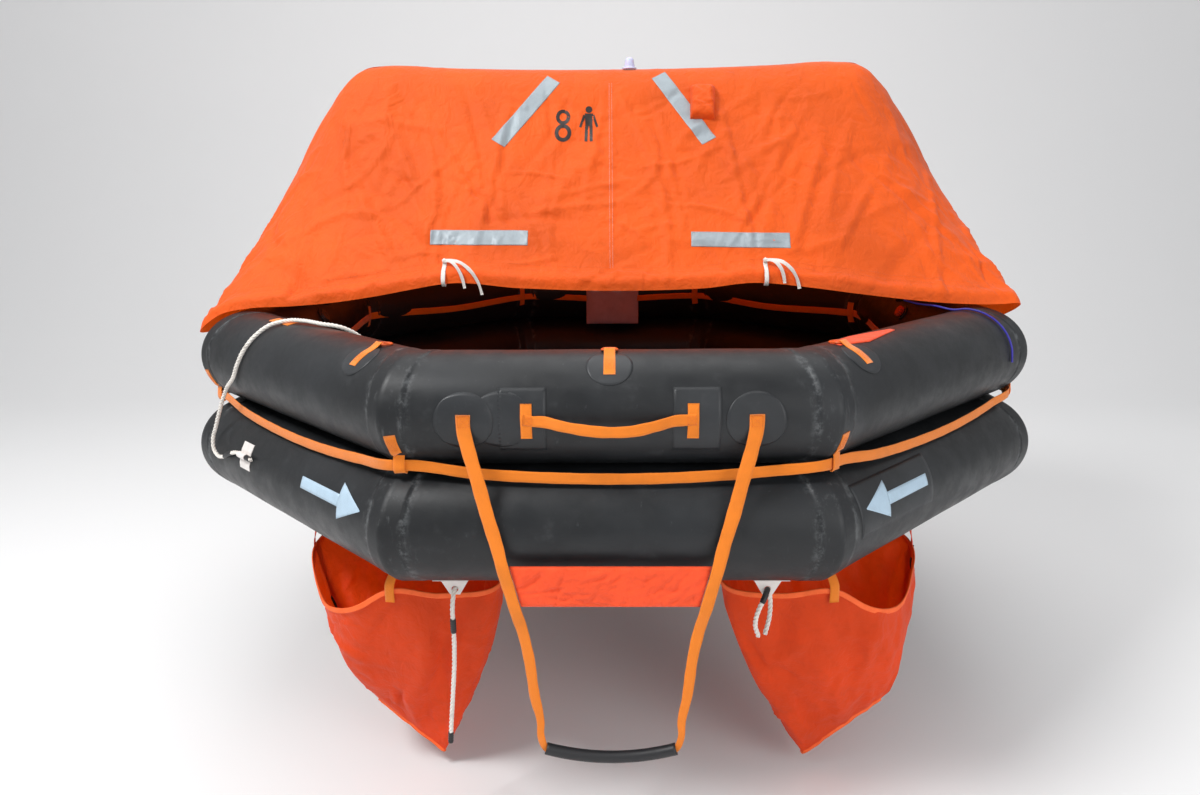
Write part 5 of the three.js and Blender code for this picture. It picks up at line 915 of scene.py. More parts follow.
REAR_FOLDS = [((-0.5, 1.12), (-0.56, 0.6), 0.03, 0.008), ((0.5, 1.12), (0.56, 0.6), 0.03, 0.008),
              ((0.0, 1.20), (0.0, 0.55), 0.014, 0.005), ((-0.8, 1.0), (-0.9, 0.55), 0.03, 0.009),
              ((0.8, 1.0), (0.9, 0.55), 0.03, 0.009), ((-0.25, 1.2), (-0.28, 0.6), 0.02, 0.005),
              ((0.25, 1.2), (0.28, 0.6), 0.02, 0.005)]
rear, rear_points, rear_normals, rear_flat = canopy(
    "canopy_rear_cloth", "canopy_rear", REAR_GRID, 280, 150, 53, REAR_FOLDS, False)


# What is sewn or printed on the front panel

front_tree = BVHTree.FromPolygons([tuple(p) for p in front_points.reshape(-1, 3)],
                                  grid_faces(*front_points.shape[:2]), epsilon=0.0)


def on_front(x, z, off=0.0):
    """The point of the front panel seen at (x, z) from the entrance side, and its normal."""
    hit, normal, _, _ = front_tree.ray_cast(Vector((x, -2.0, z)), Vector((0, 1, 0)))
    if hit is None:
        near, normal, _, _ = front_tree.find_nearest(Vector((x, -0.3, z)))
        hit = near
    normal = -normal if normal.y > 0 else normal
    return np.array(hit + normal * off), np.array(normal)


def decal(name, flat, height, material, replaces=(), closed=True, uv=None, extra=None):
    """A piece on the front panel; flat is a grid of (x, z), height its stand off the cloth."""
    rows, columns, _ = flat.shape
    high = np.broadcast_to(np.asarray(height, float), (rows, columns))
    top, low = np.empty((rows, columns, 3)), {}
    for i in range(rows):
        for j in range(columns):
            p, n = on_front(*flat[i, j])
            mean = np.array([0, -0.86, 0.5]) if extra is None else extra
            top[i, j] = p + (n if high[i, j] < 0.003 else mean) * high[i, j]
            if i in (0, rows - 1) or j in (0, columns - 1):
                low[i, j] = p + n * 0.0001
    edge = ([(0, j) for j in range(columns)] + [(i, columns - 1) for i in range(1, rows)]
            + [(rows - 1, j) for j in range(columns - 2, -1, -1)] + [(i, 0) for i in range(rows - 2, 0, -1)])
    verts = list(top.reshape(-1, 3)) + [low[e] for e in edge]
    faces = grid_faces(rows, columns)
    n, start = len(edge), rows * columns
    if closed:
        for k, (i, j) in enumerate(edge):
            i2, j2 = edge[(k + 1) % n]
            faces.append([i * columns + j, start + k, start + (k + 1) % n, i2 * columns + j2])
    coordinates = flat if uv is None else uv
    uv = np.concatenate([coordinates.reshape(-1, 2), np.array([coordinates[e] for e in edge])])
    return put(name, np.array(verts), faces, material, replaces=replaces, uv=uv)


PANEL_RISE = 0.838


def turned(x, z, length, width, degrees, columns, rows):
    t = math.radians(degrees)
    u, v = np.meshgrid(np.linspace(-0.5, 0.5, columns) * length, np.linspace(-0.5, 0.5, rows) * width)
    flat = np.stack([x + u * math.cos(t) - v * math.sin(t),
                     z + (u * math.sin(t) + v * math.cos(t)) * PANEL_RISE], -1)
    return flat, np.stack([u, v], -1)


for name, x, z, degrees in (("upper_left", -0.266, 1.130, 54.4), ("upper_right", 0.230, 1.136, -58.4),
                            ("lower_left", -0.393, 0.753, -0.8), ("lower_right", 0.386, 0.742, -1.2)):
    flat, uv = turned(x, z, 0.292, 0.050, degrees, 74, 14)
    decal("tape_" + name, flat, 0.0011, "grey", "reflective_tape_" + name, uv=uv)
    lines = []
    for v in (-0.0225, 0.0225):
        t = math.radians(degrees)
        line = []
        for u in np.linspace(-0.143, 0.143, 60):
            p, n = on_front(x + u * math.cos(t) - v * math.sin(t),
                            z + (u * math.sin(t) + v * math.cos(t)) * PANEL_RISE, 0.0013)
            line.append((p, n))
        lines.append(line)
    stitches("tape_stitches_" + name, lines, "pale_thread")

flat, uv = turned(0.290, 1.150, 0.076, 0.122, -2, 33, 45)
u, v = uv[..., 0] / 0.038, uv[..., 1] / 0.061
dome = (1 - np.abs(u) ** 5) * (1 - np.abs(v) ** 6)
sag = 0.035 * np.clip(dome, 0, 1) ** 0.55 * (1 - 0.12 * v)
sag += 0.0016 * np.sin(u * 4.2 + v * 9) * dome + creases(uv.reshape(-1, 2), 26, 0.05, 0.008, 0.003, 7).reshape(
    sag.shape) * dome
decal("reflector_pocket", flat, 0.002 + np.clip(sag, 0, None), "canopy", "radar_reflector_sleeve",
      uv=uv)


def glyph(name, cells):
    """Printed cells on the front panel, each a grid of (x, z)."""
    parts = []
    for flat in cells:
        rows, columns, _ = flat.shape
        p = np.array([[on_front(*flat[i, j], 0.0007)[0] for j in range(columns)] for i in range(rows)])
        parts.append((p.reshape(-1, 3), grid_faces(rows, columns), flat.reshape(-1, 2)))
    points, faces, uv = joined(parts)
    return put(name, points, faces, "ink", uv=uv)


def ring_cells(cx, cz, rx, rz, thick, segments=40):
    a = np.linspace(0, 2 * math.pi, segments + 1)
    r = np.linspace(0, 1, 4)
    a, r = np.meshgrid(a, r)
    x = cx + (rx - thick * r) * np.cos(a)
    z = cz + (rz - thick * r) * np.sin(a)
    return np.stack([x, z], -1)


def bar_cells(x0, z0, x1, z1, w0, w1, count=8):
    """A tapered bar from (x0, z0) to (x1, z1), w0 and w1 wide."""
    s = np.linspace(0, 1, count)
    run = np.array([x1 - x0, z1 - z0])
    side = np.array([-run[1], run[0]]) / np.hypot(*run)
    mid = np.array([x0, z0]) + s[:, None] * run
    w = (w0 + (w1 - w0) * s)[:, None]
    return np.stack([mid + side * w * k for k in (-0.5, -0.17, 0.17, 0.5)], 0)


def disc_cells(cx, cz, r):
    flat = disc_grid(r, 7, 7)
    return flat + np.array([cx, cz])


glyph("capacity_figure", [ring_cells(-0.149, 1.110, 0.0225, 0.0235, 0.011),
                          ring_cells(-0.149, 1.061, 0.026, 0.0275, 0.012)])
glyph("person_figure", [disc_cells(-0.068, 1.133, 0.0105), bar_cells(-0.068, 1.121, -0.068, 1.082, 0.026, 0.022),
                        bar_cells(-0.082, 1.116, -0.095, 1.078, 0.008, 0.007),
                        bar_cells(-0.054, 1.116, -0.041, 1.078, 0.008, 0.007),
                        bar_cells(-0.0745, 1.084, -0.0765, 1.034, 0.0105, 0.009),
                        bar_cells(-0.0615, 1.084, -0.0595, 1.034, 0.0105, 0.009)])

# Seams of the front panel: the middle one and the hem rows
seam_lines = []
for dx in (-0.004, 0.004):
    seam_lines.append([on_front(dx + 0.004 * (1.2 - z), z, 0.0008) for z in np.linspace(1.215, 0.66, 90)])
stitches("panel_seam_stitches", seam_lines, "pale_thread")
hem_lines = []
rows_total = front_points.shape[1]
for back in (10, 13):
    row = rows_total - 1 - back
    line = []
    for i in range(48, 293, 2):
        n = front_normals[i, row]
        line.append((front_points[i, row] + n * 0.0008, n))
    hem_lines.append(line)
stitches("hem_stitches", hem_lines)


# Rolled entrance flap: a spiral of cloth under the hem

def hem_frame(x):
    fold, bulge, edge = (np.array([np.interp(x, FRONT_GRID[:, k, 0], FRONT_GRID[:, k, c]) for c in range(3)])
                         for k in (-3, -2, -1))
    fold[0] = bulge[0] = edge[0] = x
    out = unit(bulge - (fold + edge) / 2)
    down = unit(edge - fold)
    lean = math.atan2(0.013, np.linalg.norm(edge - fold) / 2)
    inset = (0.003 + 0.0005 + 0.019) / math.cos(lean) + 0.0005
    return fold, bulge, edge, out, down, bulge - out * inset


roll_x = np.linspace(-0.828, 0.858, 300)
turns, around = 2.6, 90
spiral = np.linspace(0, turns * 2 * math.pi, around)
spiral_r = 0.0062 + (0.0182 - 0.0062) * spiral / spiral[-1]
roll_rows = []
for k, x in enumerate(roll_x):
    _, _, _, out, down, centre = hem_frame(x)
    a = spiral - spiral[-1] + 2.3 + 0.25 * math.sin(x * 5)
    wobble = 1 + 0.05 * math.sin(x * 31 + 1.0) + 0.035 * math.sin(x * 74)
    bump = 0.0010 * np.sin(x * 58 + a * 2.0) + 0.0007 * np.sin(x * 133 - a * 3)
    r = np.minimum(spiral_r * wobble + bump * (spiral / spiral[-1]), 0.0198)
    roll_rows.append(centre + out * (r * np.cos(a))[:, None] + down * (r * np.sin(a))[:, None])
roll_rows = np.array(roll_rows)
roll_uv = np.stack(np.meshgrid(roll_x, lengths(roll_rows[150]), indexing="ij"), -1)
roll = put("rolled_flap", roll_rows.reshape(-1, 3), grid_faces(300, around), "canopy",
           replaces="door_flap_roll", uv=roll_uv.reshape(-1, 2))


def door_tie(name, node, x, reach, fall):
    fold_, bulge, edge, out, down, centre = hem_frame(x)
    stations = []
    for degrees in (205, 180, 155, 130, 108):
        o, d = math.cos(math.radians(degrees)), math.sin(math.radians(degrees))
        stations.append((centre + (out * o + down * d) * 0.0208, out * o + down * d, 0.012))
    stations += [(edge - out * 0.006 + down * 0.005, down, 0.012),
                 (edge + out * 0.004 + down * 0.003, down + out * 0.5, 0.012),
                 (bulge + out * 0.0030, out, 0.012), (fold_ + out * 0.0036, out, 0.012),
                 (fold_ + out * 0.0046 - down * 0.009, out, 0.012)]
    web(name, stations, 0.0013, "white", node, step=0.004, rough=0.0006)
    knot_at = fold_ + out * 0.0094 - down * 0.008
    tails = []
    for sign, share in ((1.0, 1.0), (0.55, 0.8)):
        line = []
        for s, forward, drop in ((0, 0, 0), (0.18, 0.010, -0.02), (0.45, 0.026, 0.03), (0.74, 0.034, 0.30),
                                 (0.92, 0.034, 0.66), (1, 0.033, 1)):
            line.append((knot_at + np.array([s * reach * sign, -forward, -drop * fall * share]),
                         (-0.45 * s, -0.9, 0.4 - 0.5 * drop), 0.010))
        tails.append(line)
    for k, line in enumerate(tails):
        web(f"{name}_tail_{k + 1}", line, 0.0012, "white", step=0.004, rough=0.0008)
    turns_ = []
    for k in range(3):
        a = np.linspace(0, 2 * math.pi, 22)[:-1]
        tilt = (0.2, 1.2, 2.2)[k]
        u = np.array([math.cos(tilt), 0, math.sin(tilt)])
        w = np.array([0, -1, 0.1 * (k - 1)])
        loop = [(knot_at + u * 0.0062 * math.cos(t) + w * 0.0050 * math.sin(t),
                 u * math.cos(t) + w * math.sin(t), 0.009) for t in a]
        turns_.append(web(f"{name}_knot_{k + 1}", loop, 0.0012, "white", closed=True, step=0.002))


door_tie("tie_left", "door_tie_left", -0.488, 0.112, 0.096)
door_tie("tie_right", "door_tie_right", 0.452, 0.096, 0.080)


# Lamp on the ridge

lamp_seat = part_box("ridge_lamp")[0][2]
profile = rounded([(0, 0), (0.0235, 0), (0.0235, 0.004), (0.0175, 0.0058), (0.0168, 0.011), (0.0140, 0.029),
                   (0.0085, 0.0355), (0, 0.0368)], 0.002)
points, faces, uv = lathe(profile)
put("lamp_dome", placed(points, Matrix.Translation((0.062, 0, lamp_seat))), faces, "lamp",
    replaces="ridge_lamp", uv=uv)


# Document pouch: a film pocket that hangs inside the rear of the upper tube

low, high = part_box("document_pouch")
pouch_x, pouch_z = np.linspace(low[0] + 0.002, high[0] - 0.002, 50), np.linspace(low[2] + 0.002, high[2] - 0.002, 40)
gx, gz = np.meshgrid(pouch_x, pouch_z, indexing="ij")
gu, gv = (gx - gx.mean()) / (0.5 * np.ptp(gx)), (gz - gz.mean()) / (0.5 * np.ptp(gz))
belly = 0.012 * np.clip((1 - gu ** 4) * (1 - gv ** 4), 0, 1) ** 0.7 + 0.0012 * np.sin(gu * 7 + gv * 3)
pouch_points = np.stack([gx, low[1] + 0.014 - belly, gz], -1)
pouch = put("pouch_film", pouch_points.reshape(-1, 3), grid_faces(50, 40), "clear",
            replaces="document_pouch", uv=np.stack([gx, gz], -1).reshape(-1, 2))


# Lifelines and their tabs

def xbox(name, centre, along, across, normal, long, wide):
    """Box stitching with a cross, at centre on a surface that faces normal."""
    centre, along, across, normal = (np.asarray(v, float) for v in (centre, along, across, normal))

    def at(u, v):
        return (centre + along * u * long / 2 + across * v * wide / 2 + normal * 0.0003, normal)
    lines = [[at(-1, -1), at(1, -1)], [at(1, -1), at(1, 1)], [at(1, 1), at(-1, 1)], [at(-1, 1), at(-1, -1)],
             [at(-1, -1), at(1, 1)], [at(1, -1), at(-1, 1)]]
    stitches(name, lines)


LINE_A, LINE_Z = UP_A + 0.097, UP_Z - 0.110
half_line = LINE_A * TAN
stations = []
for face in range(8):
    tab = -half_line + 0.020
    for station, sag in ((tab - 0.013, 0), (tab + 0.015, 0), (-half_line * 0.62, 0.62), (-half_line * 0.2, 1),
                         (half_line * 0.3, 0.97), (half_line * 0.72, 0.5)):
        stations.append((on_face(face, LINE_A + sag * 0.014, station, LINE_Z - sag * 0.027), face_out(face), 0.026))
web("outer_line_webbing", stations, 0.0021, replaces="outer_lifeline", closed=True)

for face in range(8):
    def corner(degrees, off, face=face):
        a = math.radians(degrees)
        out = UP_A + (UP_R + off) * math.cos(a)
        return on_face(face, out, -out * TAN + 0.020, UP_Z + (UP_R + off) * math.sin(a))

    def off_line(out, up, face=face):
        return on_face(face, LINE_A + out, -(LINE_A + out) * TAN + 0.020, LINE_Z + up)
    o, z = face_out(face), np.array([0, 0, 1.0])
    strip = [(corner(d, 0.0015), tube_normal(face, d), 0.026) for d in (-14, -22, -30, -37)]
    strip += [(off_line(0.0045, 0.030), o, 0.026), (off_line(0.0050, 0.014), o, 0.026),
              (off_line(0.0050, -0.012), o, 0.026), (off_line(0.0020, -0.0170), o - z, 0.026),
              (off_line(-0.0030, -0.0172), -z - o * 0.6, 0.026), (off_line(-0.0052, -0.010), -o, 0.026),
              (off_line(-0.0050, 0.006), -o, 0.026)]
    web(f"outer_tab_{face + 1}", strip, 0.0019, replaces=f"lifeline_tab_{face + 1}", step=0.004)
    d = 25
    xbox(f"outer_tab_stitches_{face + 1}", corner(-d, 0.0026), face_along(face),
         unit(np.cross(tube_normal(face, -d), face_along(face))), tube_normal(face, -d), 0.018, 0.030)

inner_off = (UP_R + 0.0003 + 0.002) * FACET + 0.0005
inner_a = UP_A - inner_off
half_inner = inner_a * TAN
stations = []
for face in range(8):
    for station, slack in ((-half_inner + 0.004, 0), (-half_inner + 0.040, 0), (0, 1), (half_inner - 0.014, 0)):
        stations.append((on_face(face, inner_a - slack * 0.011, station, UP_Z - 0.0135 - slack * 0.011),
                         -face_out(face), 0.026))
web("inner_line_webbing", stations, 0.002, replaces="inner_lifeline", closed=True)
for face in range(8):
    strip = []
    for d in np.linspace(168, 202, 8):
        a = math.radians(d)
        out = UP_A + (UP_R + 0.0022) * math.cos(a)
        strip.append((on_face(face, out, -out * TAN + 0.020, UP_Z + (UP_R + 0.0022) * math.sin(a)),
                      tube_normal(face, d), 0.026))
    web(f"inner_tab_{face + 1}", strip, 0.0018, step=0.004)


# Grab handle on its bonded patches

for side, node in ((-1, "grab_handle_patch_left"), (1, "grab_handle_patch_right")):
    tube_spread("handle_patch_" + node[18:], UPPER, FRONT, side * 0.190, 0, square_grid(0.105, 0.150, 17, 13),
                0.0010, "patch")
    strip = [(on_tube(UPPER, FRONT, side * 0.181, d, 0.0020), tube_normal(FRONT, d), 0.025)
             for d in np.linspace(-17, 17, 8)]
    web("handle_strip_" + node[18:], strip, 0.0018, replaces=node, step=0.004)
stations = []
for share, off, rise in ((-1.12, -0.9, 0.004), (-1, 0, 0.001), (-.86, .1, .001), (-.62, .5, -.004), (-.3, .9, -.009),
                         (0, 1, -.012), (.3, .96, -.010), (.6, .6, -.003), (.86, .12, .003), (1, 0, .003),
                         (1.12, -0.9, 0.004)):
    clear = 0.0 if abs(share) <= 1 else 0.0377
    stations.append(((share * 0.1682, -(1.2170 + 0.042 * off + clear), UP_Z + rise), (0, -1, 0), 0.025))
web("grab_handle_webbing", stations, 0.0022, replaces="grab_handle", rough=0.0008)
for side in (-1, 1):
    xbox(f"handle_stitches_{'left' if side < 0 else 'right'}", (side * 0.178, -1.2190, UP_Z + 0.002), (1, 0, 0),
         (0, 0, 1), (0, -1, 0), 0.018, 0.018)


# Boarding ladder: webbing sides, padded step, hollow rung

def ladder_x(z):
    return -0.318 + (0.420 - z) * 0.25


def side_stations():
    out = [(-0.318, -1.2165, 0.4290, 0.032), (-0.318, -1.2165, 0.3996, 0.032)]
    for inward, share, z in ((.010, .15, .3516), (.028, .4, .2886), (.048, .7, .2136)):
        out.append((-0.318 + inward, -1.2156 * (1 - share) - 1.261 * share, z, 0.031))
    for y, z, w in ((-1.2620, .134, .029), (-1.2700, .098, .028), (-1.2700, .045, .027), (-1.2700, -.006, .027),
                    (-1.2620, -.060, .026), (-1.262, -.120, .025), (-1.262, -.226, .024)):
        out.append((ladder_x(z) if z > -0.1 else ladder_x(-0.096) + (-0.096 - z) * 0.115, y, z, w))
    return out


left = side_stations()
stations = [((x, y, z), (0, -1, 0), w) for x, y, z, w in left]
stations += [((-.162, -1.262, -.300), (0.1, -1, 0), .018), ((-.163, -1.262, -.322), (0.1, -1, 0.1), .017),
             ((-.1605, -1.262, -.340), (-0.3, -1, 0.1), .017)]
for share in (-1, -0.75, -0.5, -0.25, 0):
    x = share * 0.151
    z = -0.362 - 0.022 * (1 - share ** 2)
    stations.append(((x, -1.262, z), (0, -1, 0), .016))
mirrored = [((-p[0], p[1], p[2]), (-f[0], f[1], f[2]), w) for p, f, w in stations[:-1]][::-1]
web("ladder_sides", stations + mirrored, 0.0030, replaces="ladder_webbing", rough=0.0007)
for side in (-1, 1):
    tube_spread(f"ladder_patch_{'left' if side < 0 else 'right'}", UPPER, FRONT, side * 0.318, 0, disc_grid(0.066),
                0.0012, "patch")
    xbox(f"ladder_stitches_{'left' if side < 0 else 'right'}", (side * 0.318, -1.2182, 0.414), (1, 0, 0), (0, 0, 1),
         (0, -1, 0), 0.025, 0.024)

rung_x = np.linspace(-0.151, 0.151, 60)
rung_line = np.stack([rung_x, np.full(60, -1.262), -0.362 - 0.022 * (1 - (rung_x / 0.151) ** 2)], -1)
outer_p, _, outer_uv = pipe(rung_line, 0.0139, 28)
inner_p, _, inner_uv = pipe(rung_line, 0.0106, 28)
tube_faces = grid_faces(60, 28, close_columns=True)
inner_faces = [[k + len(outer_p) for k in f[::-1]] for f in tube_faces]
ends = []
for start, flip in ((0, False), (59 * 28, True)):
    for k in range(28):
        quad = [start + k, start + (k + 1) % 28, len(outer_p) + start + (k + 1) % 28, len(outer_p) + start + k]
        ends.append(quad[::-1] if not flip else quad)
put("rung_tube", np.concatenate([outer_p, inner_p]), tube_faces + inner_faces + ends, "rung",
    replaces="ladder_rung", uv=np.concatenate([outer_uv, inner_uv]))


def step_pad():
    """The step as a stuffed pad: two crowned sides of wrinkled cloth, closed round the edge."""
    columns, rows = 96, 34
    u, v = np.meshgrid(np.linspace(-1, 1, columns), np.linspace(0, 1, rows), indexing="ij")
    z = -0.002 + 0.098 * v
    half_wide = -(-0.318 + (0.420 - z) * 0.25) - 0.013
    x = u * half_wide
    body = np.clip((1 - np.abs(u) ** 14) * (1 - np.abs(2 * v - 1) ** 5), 0, 1) ** 0.5
    flat = np.stack([x, z], -1).reshape(-1, 2)
    wrinkle = creases(flat, 70, 0.06, 0.009, 0.0042, 17, heading=0.5, spread=0.8).reshape(x.shape)
    wrinkle += creases(flat, 60, 0.03, 0.006, 0.0022, 18).reshape(x.shape)
    front_y = -1.261 - (0.0050 + 0.0030) * body + wrinkle * body * 0.9
    back_y = -1.261 + 0.0070 * body
    front_side = np.stack([x, np.clip(front_y, -1.2695, -1.258), z], -1)
    back_side = np.stack([x, back_y, z], -1)
    points = np.concatenate([front_side.reshape(-1, 3), back_side.reshape(-1, 3)])
    faces = grid_faces(columns, rows)
    faces += grid_faces(columns, rows, start=columns * rows, turn=True)
    edge = ([(i, 0) for i in range(columns)] + [(columns - 1, j) for j in range(1, rows)]
            + [(i, rows - 1) for i in range(columns - 2, -1, -1)] + [(0, j) for j in range(rows - 2, 0, -1)])
    shift = columns * rows
    for k, (i, j) in enumerate(edge):
        i2, j2 = edge[(k + 1) % len(edge)]
        faces.append([i * rows + j, shift + i * rows + j, shift + i2 * rows + j2, i2 * rows + j2][::-1])
    uv = np.concatenate([flat, flat])
    return put("step_cushion", points, faces, "step", replaces="ladder_step", uv=uv)


step_pad()
step_lines = []
for v in (0.006, 0.090):
    half_wide = -(-0.318 + (0.420 - v) * 0.25) - 0.018
    step_lines.append([((x, -1.2655, v), (0, -1, 0)) for x in np.linspace(-half_wide, half_wide, 40)])
stitches("step_stitches", step_lines)


# Closing points: tabs and rings

def closing(side, name):
    if side:
        centre = np.array([side * 0.54325, -1.01361, 0.54929])
        face = FRONT_RIGHT if side > 0 else FRONT_LEFT
        station = float(centre @ face_along(face))
    else:
        centre, face, station = np.array([0, -1.10087, 0.54929]), FRONT, 0.0
    along, out = face_along(face), face_out(face)
    a = math.radians(82.5)
    up = out * math.cos(a) + np.array([0, 0, math.sin(a)])
    strip = [(on_tube(UPPER, face, station, d, 0.0008), tube_normal(face, d), 0.026) for d in np.linspace(46, 72, 7)]
    back = unit(np.cross(along, up))
    back = back if back @ out < 0 else -back
    for t in (-60, 0, 60, 120, 170):
        r = math.radians(t)
        d = up * math.cos(r) + back * math.sin(r)
        strip.append((centre + d * 0.0042, d, 0.026))
    web(f"closing_strap_{name}", strip, 0.0016, replaces=f"closing_tab_{name}", step=0.003)
    xbox(f"closing_stitches_{name}", on_tube(UPPER, face, station, 58, 0.0024), along,
         unit(np.cross(tube_normal(face, 58), along)), tube_normal(face, 58), 0.018, 0.026)
    tube_spread(f"closing_patch_{name}", UPPER, face, station, 57, disc_grid(0.052), 0.0009, "patch")
    low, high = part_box(f"closing_ring_{name}")
    middle = (np.array(low) + np.array(high)) / 2
    reach = middle - centre
    reach -= along * (reach @ along)
    d = unit(reach)
    flat = [(-0.0144, 0), (-0.005, 0), (0.005, 0), (0.0144, 0), (0.0172, 0.004), (0.0160, 0.014)]
    arc = [(0.0155 * math.cos(t), 0.0185 + 0.0130 * math.sin(t)) for t in np.linspace(0.15, math.pi - 0.15, 14)]
    loop = flat + arc + [(-0.0160, 0.014), (-0.0172, 0.004)]
    line = np.array([centre + along * u + d * v for u, v in loop])
    closed = np.concatenate([line[-3:], line, line[:4]])
    t = lengths(closed)
    smooth = spline(t, closed, np.linspace(t[3], t[-4], 121))[:-1]
    n = np.cross(along, d)
    tangent = tangents(smooth, True)
    side_dir = unit(np.cross(n[None], tangent))
    angle = np.arange(14) * 2 * math.pi / 14
    ring = (smooth[:, None] + 0.00245 * (np.cos(angle)[None, :, None] * side_dir[:, None]
                                         + np.sin(angle)[None, :, None] * n[None, None]))
    uv = np.stack([np.repeat(np.arange(120) * 0.001, 14), np.tile(angle, 120) * 0.0025], -1)
    put(f"wire_ring_{name}", ring.reshape(-1, 3), grid_faces(120, 14, True, True), "steel", f"ring_{name}",
        f"closing_ring_{name}", uv)


for side, name in ((-1, "left"), (0, "middle"), (1, "right")):
    closing(side, name)


# Painter: becket, route over the tubes, coil on the floor

route = [on_tube(LOWER, FRONT_LEFT, s / 1000, d, o / 1000) for s, d, o in (
    (-142, 17, 9.1), (-195, 17, 9.1), (-240, 17, 9.1), (-276, 13, 10), (-318, 6, 10), (-358, 4, 11), (-386, 10, 13),
    (-392, 22, 17))]
route += [on_face(FRONT_LEFT, a / 1000, s / 1000, z / 1000) for a, s, z in (
    (1243, -380, 228), (1238, -360, 268), (1232, -334, 316), (1226, -300, 362))]
route += [on_tube(UPPER, FRONT_LEFT, s / 1000, d, o / 1000) for s, d, o in (
    (-262, -9, 10), (-230, 8, 7), (-206, 27, 7), (-190, 46, 7), (-178, 66, 7), (-146, 83, 8), (-90, 91, 10),
    (-24, 98, 8), (18, 112, 8.4), (30, 135, 8.4), (36, 160, 9))]
route += [on_face(FRONT_LEFT, a / 1000, s / 1000, z / 1000) for a, s, z in (
    (926, 40, 405), (924, 42, 330), (924, 44, 240), (926, 46, 160), (922, 52, 108.3), (900, 70, 86.8),
    (862, 96, 85.8))]
coil_centre, lane, tier = np.array([-0.560, -0.560]), 0.0124, 0.0122
entry = route[-1][:2] - coil_centre
theta0 = math.atan2(entry[1], entry[0])


def coil(total):
    """Three tiers of a flat spiral, down from the top; total is the angle that it winds."""
    keys = [(0.0, np.hypot(*entry), 0.0858), (0.45, 0.1310, 0.0850), (0.8, 0.1335, 0.0790), (1.15, 0.1335, 0.0708)]
    tiers = (0.0708, 0.0708 - tier, 0.0708 - 2 * tier)
    turns = (3.5, 3.5, 4.0)
    theta, radius, direction = 1.15, 0.1335, -1
    for k, (z, n) in enumerate(zip(tiers, turns)):
        for s in np.linspace(0, 1, int(n * 16) + 1)[1:]:
            keys.append((theta + s * n * 2 * math.pi, radius + direction * lane * n * s, z))
        theta += n * 2 * math.pi
        radius += direction * lane * n
        direction = -direction
        if k < 2:
            theta += 0.5
            keys.append((theta, radius, tiers[k + 1]))
    keys = np.array(keys)
    a = np.arange(0, min(total, keys[-1, 0]), 0.18)
    r = np.interp(a, keys[:, 0], keys[:, 1])
    z = np.interp(a, keys[:, 0], keys[:, 2])
    return np.stack([coil_centre[0] + r * np.cos(theta0 + a), coil_centre[1] + r * np.sin(theta0 + a), z], -1)


PAINTER_LENGTH = 9.0
wound = coil(80.0)
whole = resample(np.concatenate([np.array(route), wound[1:]]), 0.0034)
arc = lengths(whole)
whole = whole[arc <= PAINTER_LENGTH + 0.0017]
points, faces, uv = laid(whole, ROPE_D)
painter = put("painter_line", points, faces, "rope", replaces=("painter_rope", "painter_coil"), uv=uv)


def sheath(name, path, start, end, radius, material="sleeve"):
    """A shrunk sleeve round a rope from start to end along path."""
    arc = lengths(path)
    s = np.linspace(start, end, max(int((end - start) / 0.0015), 8))
    line = np.stack([np.interp(s, arc, c) for c in path.T], -1)
    r = radius + 0.0003 * np.sin(s * 900)
    r[0] = r[-1] = radius * 0.93
    points, faces, uv = pipe(line, r, 20)
    return put(name, points, faces, material, uv=uv)


painter_sleeves = [sheath("painter_sleeve_becket", whole, 0.006, 0.036, 0.0072),
                   sheath("painter_sleeve_upper", whole, 0.125, 0.175, 0.0071),
                   sheath("painter_whipping", whole, PAINTER_LENGTH - 0.026, PAINTER_LENGTH - 0.002, 0.0064,
                           "thread")]

tow_left = [(-377, -1080, -42), (-377, -1100, -38), (-378, -1118, -46), (-380, -1127, -70), (-381, -1124, -118),
            (-383, -1114, -170), (-387, -1107, -236), (-394, -1103, -310), (-402, -1101, -390), (-408, -1100, -462)]
tow_right = [(357, -1114, -156), (347, -1121, -122), (352, -1127, -82), (367, -1121, -50), (377, -1101, -38),
             (384, -1082, -50), (389, -1077, -82), (386, -1088, -122), (374, -1104, -156)]
for name, node, points, far_end, length in (("drogue_rope", "drogue_line", tow_left, "bare", DROGUE_LENGTH),
                                            ("tow_loop_rope", "tow_rope_loop", tow_right, "knot", LOOP_LENGTH)):
    path = resample(np.array(points) / 1000, 0.0034)
    verts, faces, uv = laid(path, ROPE_D)
    obj = put(name, verts, faces, "rope", replaces=node, uv=uv)
    extra = [sheath(name + "_sleeve", path, 0.10, 0.14, 0.0071)]
    if far_end == "bare":
        extra.append(sheath(name + "_end", path, lengths(path)[-1] - 0.03, lengths(path)[-1] - 0.001, 0.0068))

for node in ("tow_patch_left", "tow_patch_right"):
    recolour(node, "white_patch")


# Lamp lead

lead_points = [(.868, -.432, .566), (.905, -.446, .557), (.950, -.468, .553)]
lead_points += [tuple(on_tube(UPPER, FRONT_RIGHT, s / 1000, d, 0.0044)) for s, d in (
    (352, 104), (366, 88), (374, 70), (380, 52), (384, 34), (386, 16), (386, -2))]
path = resample(np.array(lead_points), 0.004)
verts, faces, uv = pipe(path, 0.003, 14)
lead = put("lead_cable", verts, faces, "lead", replaces="lamp_lead", uv=uv)


# Ballast bags

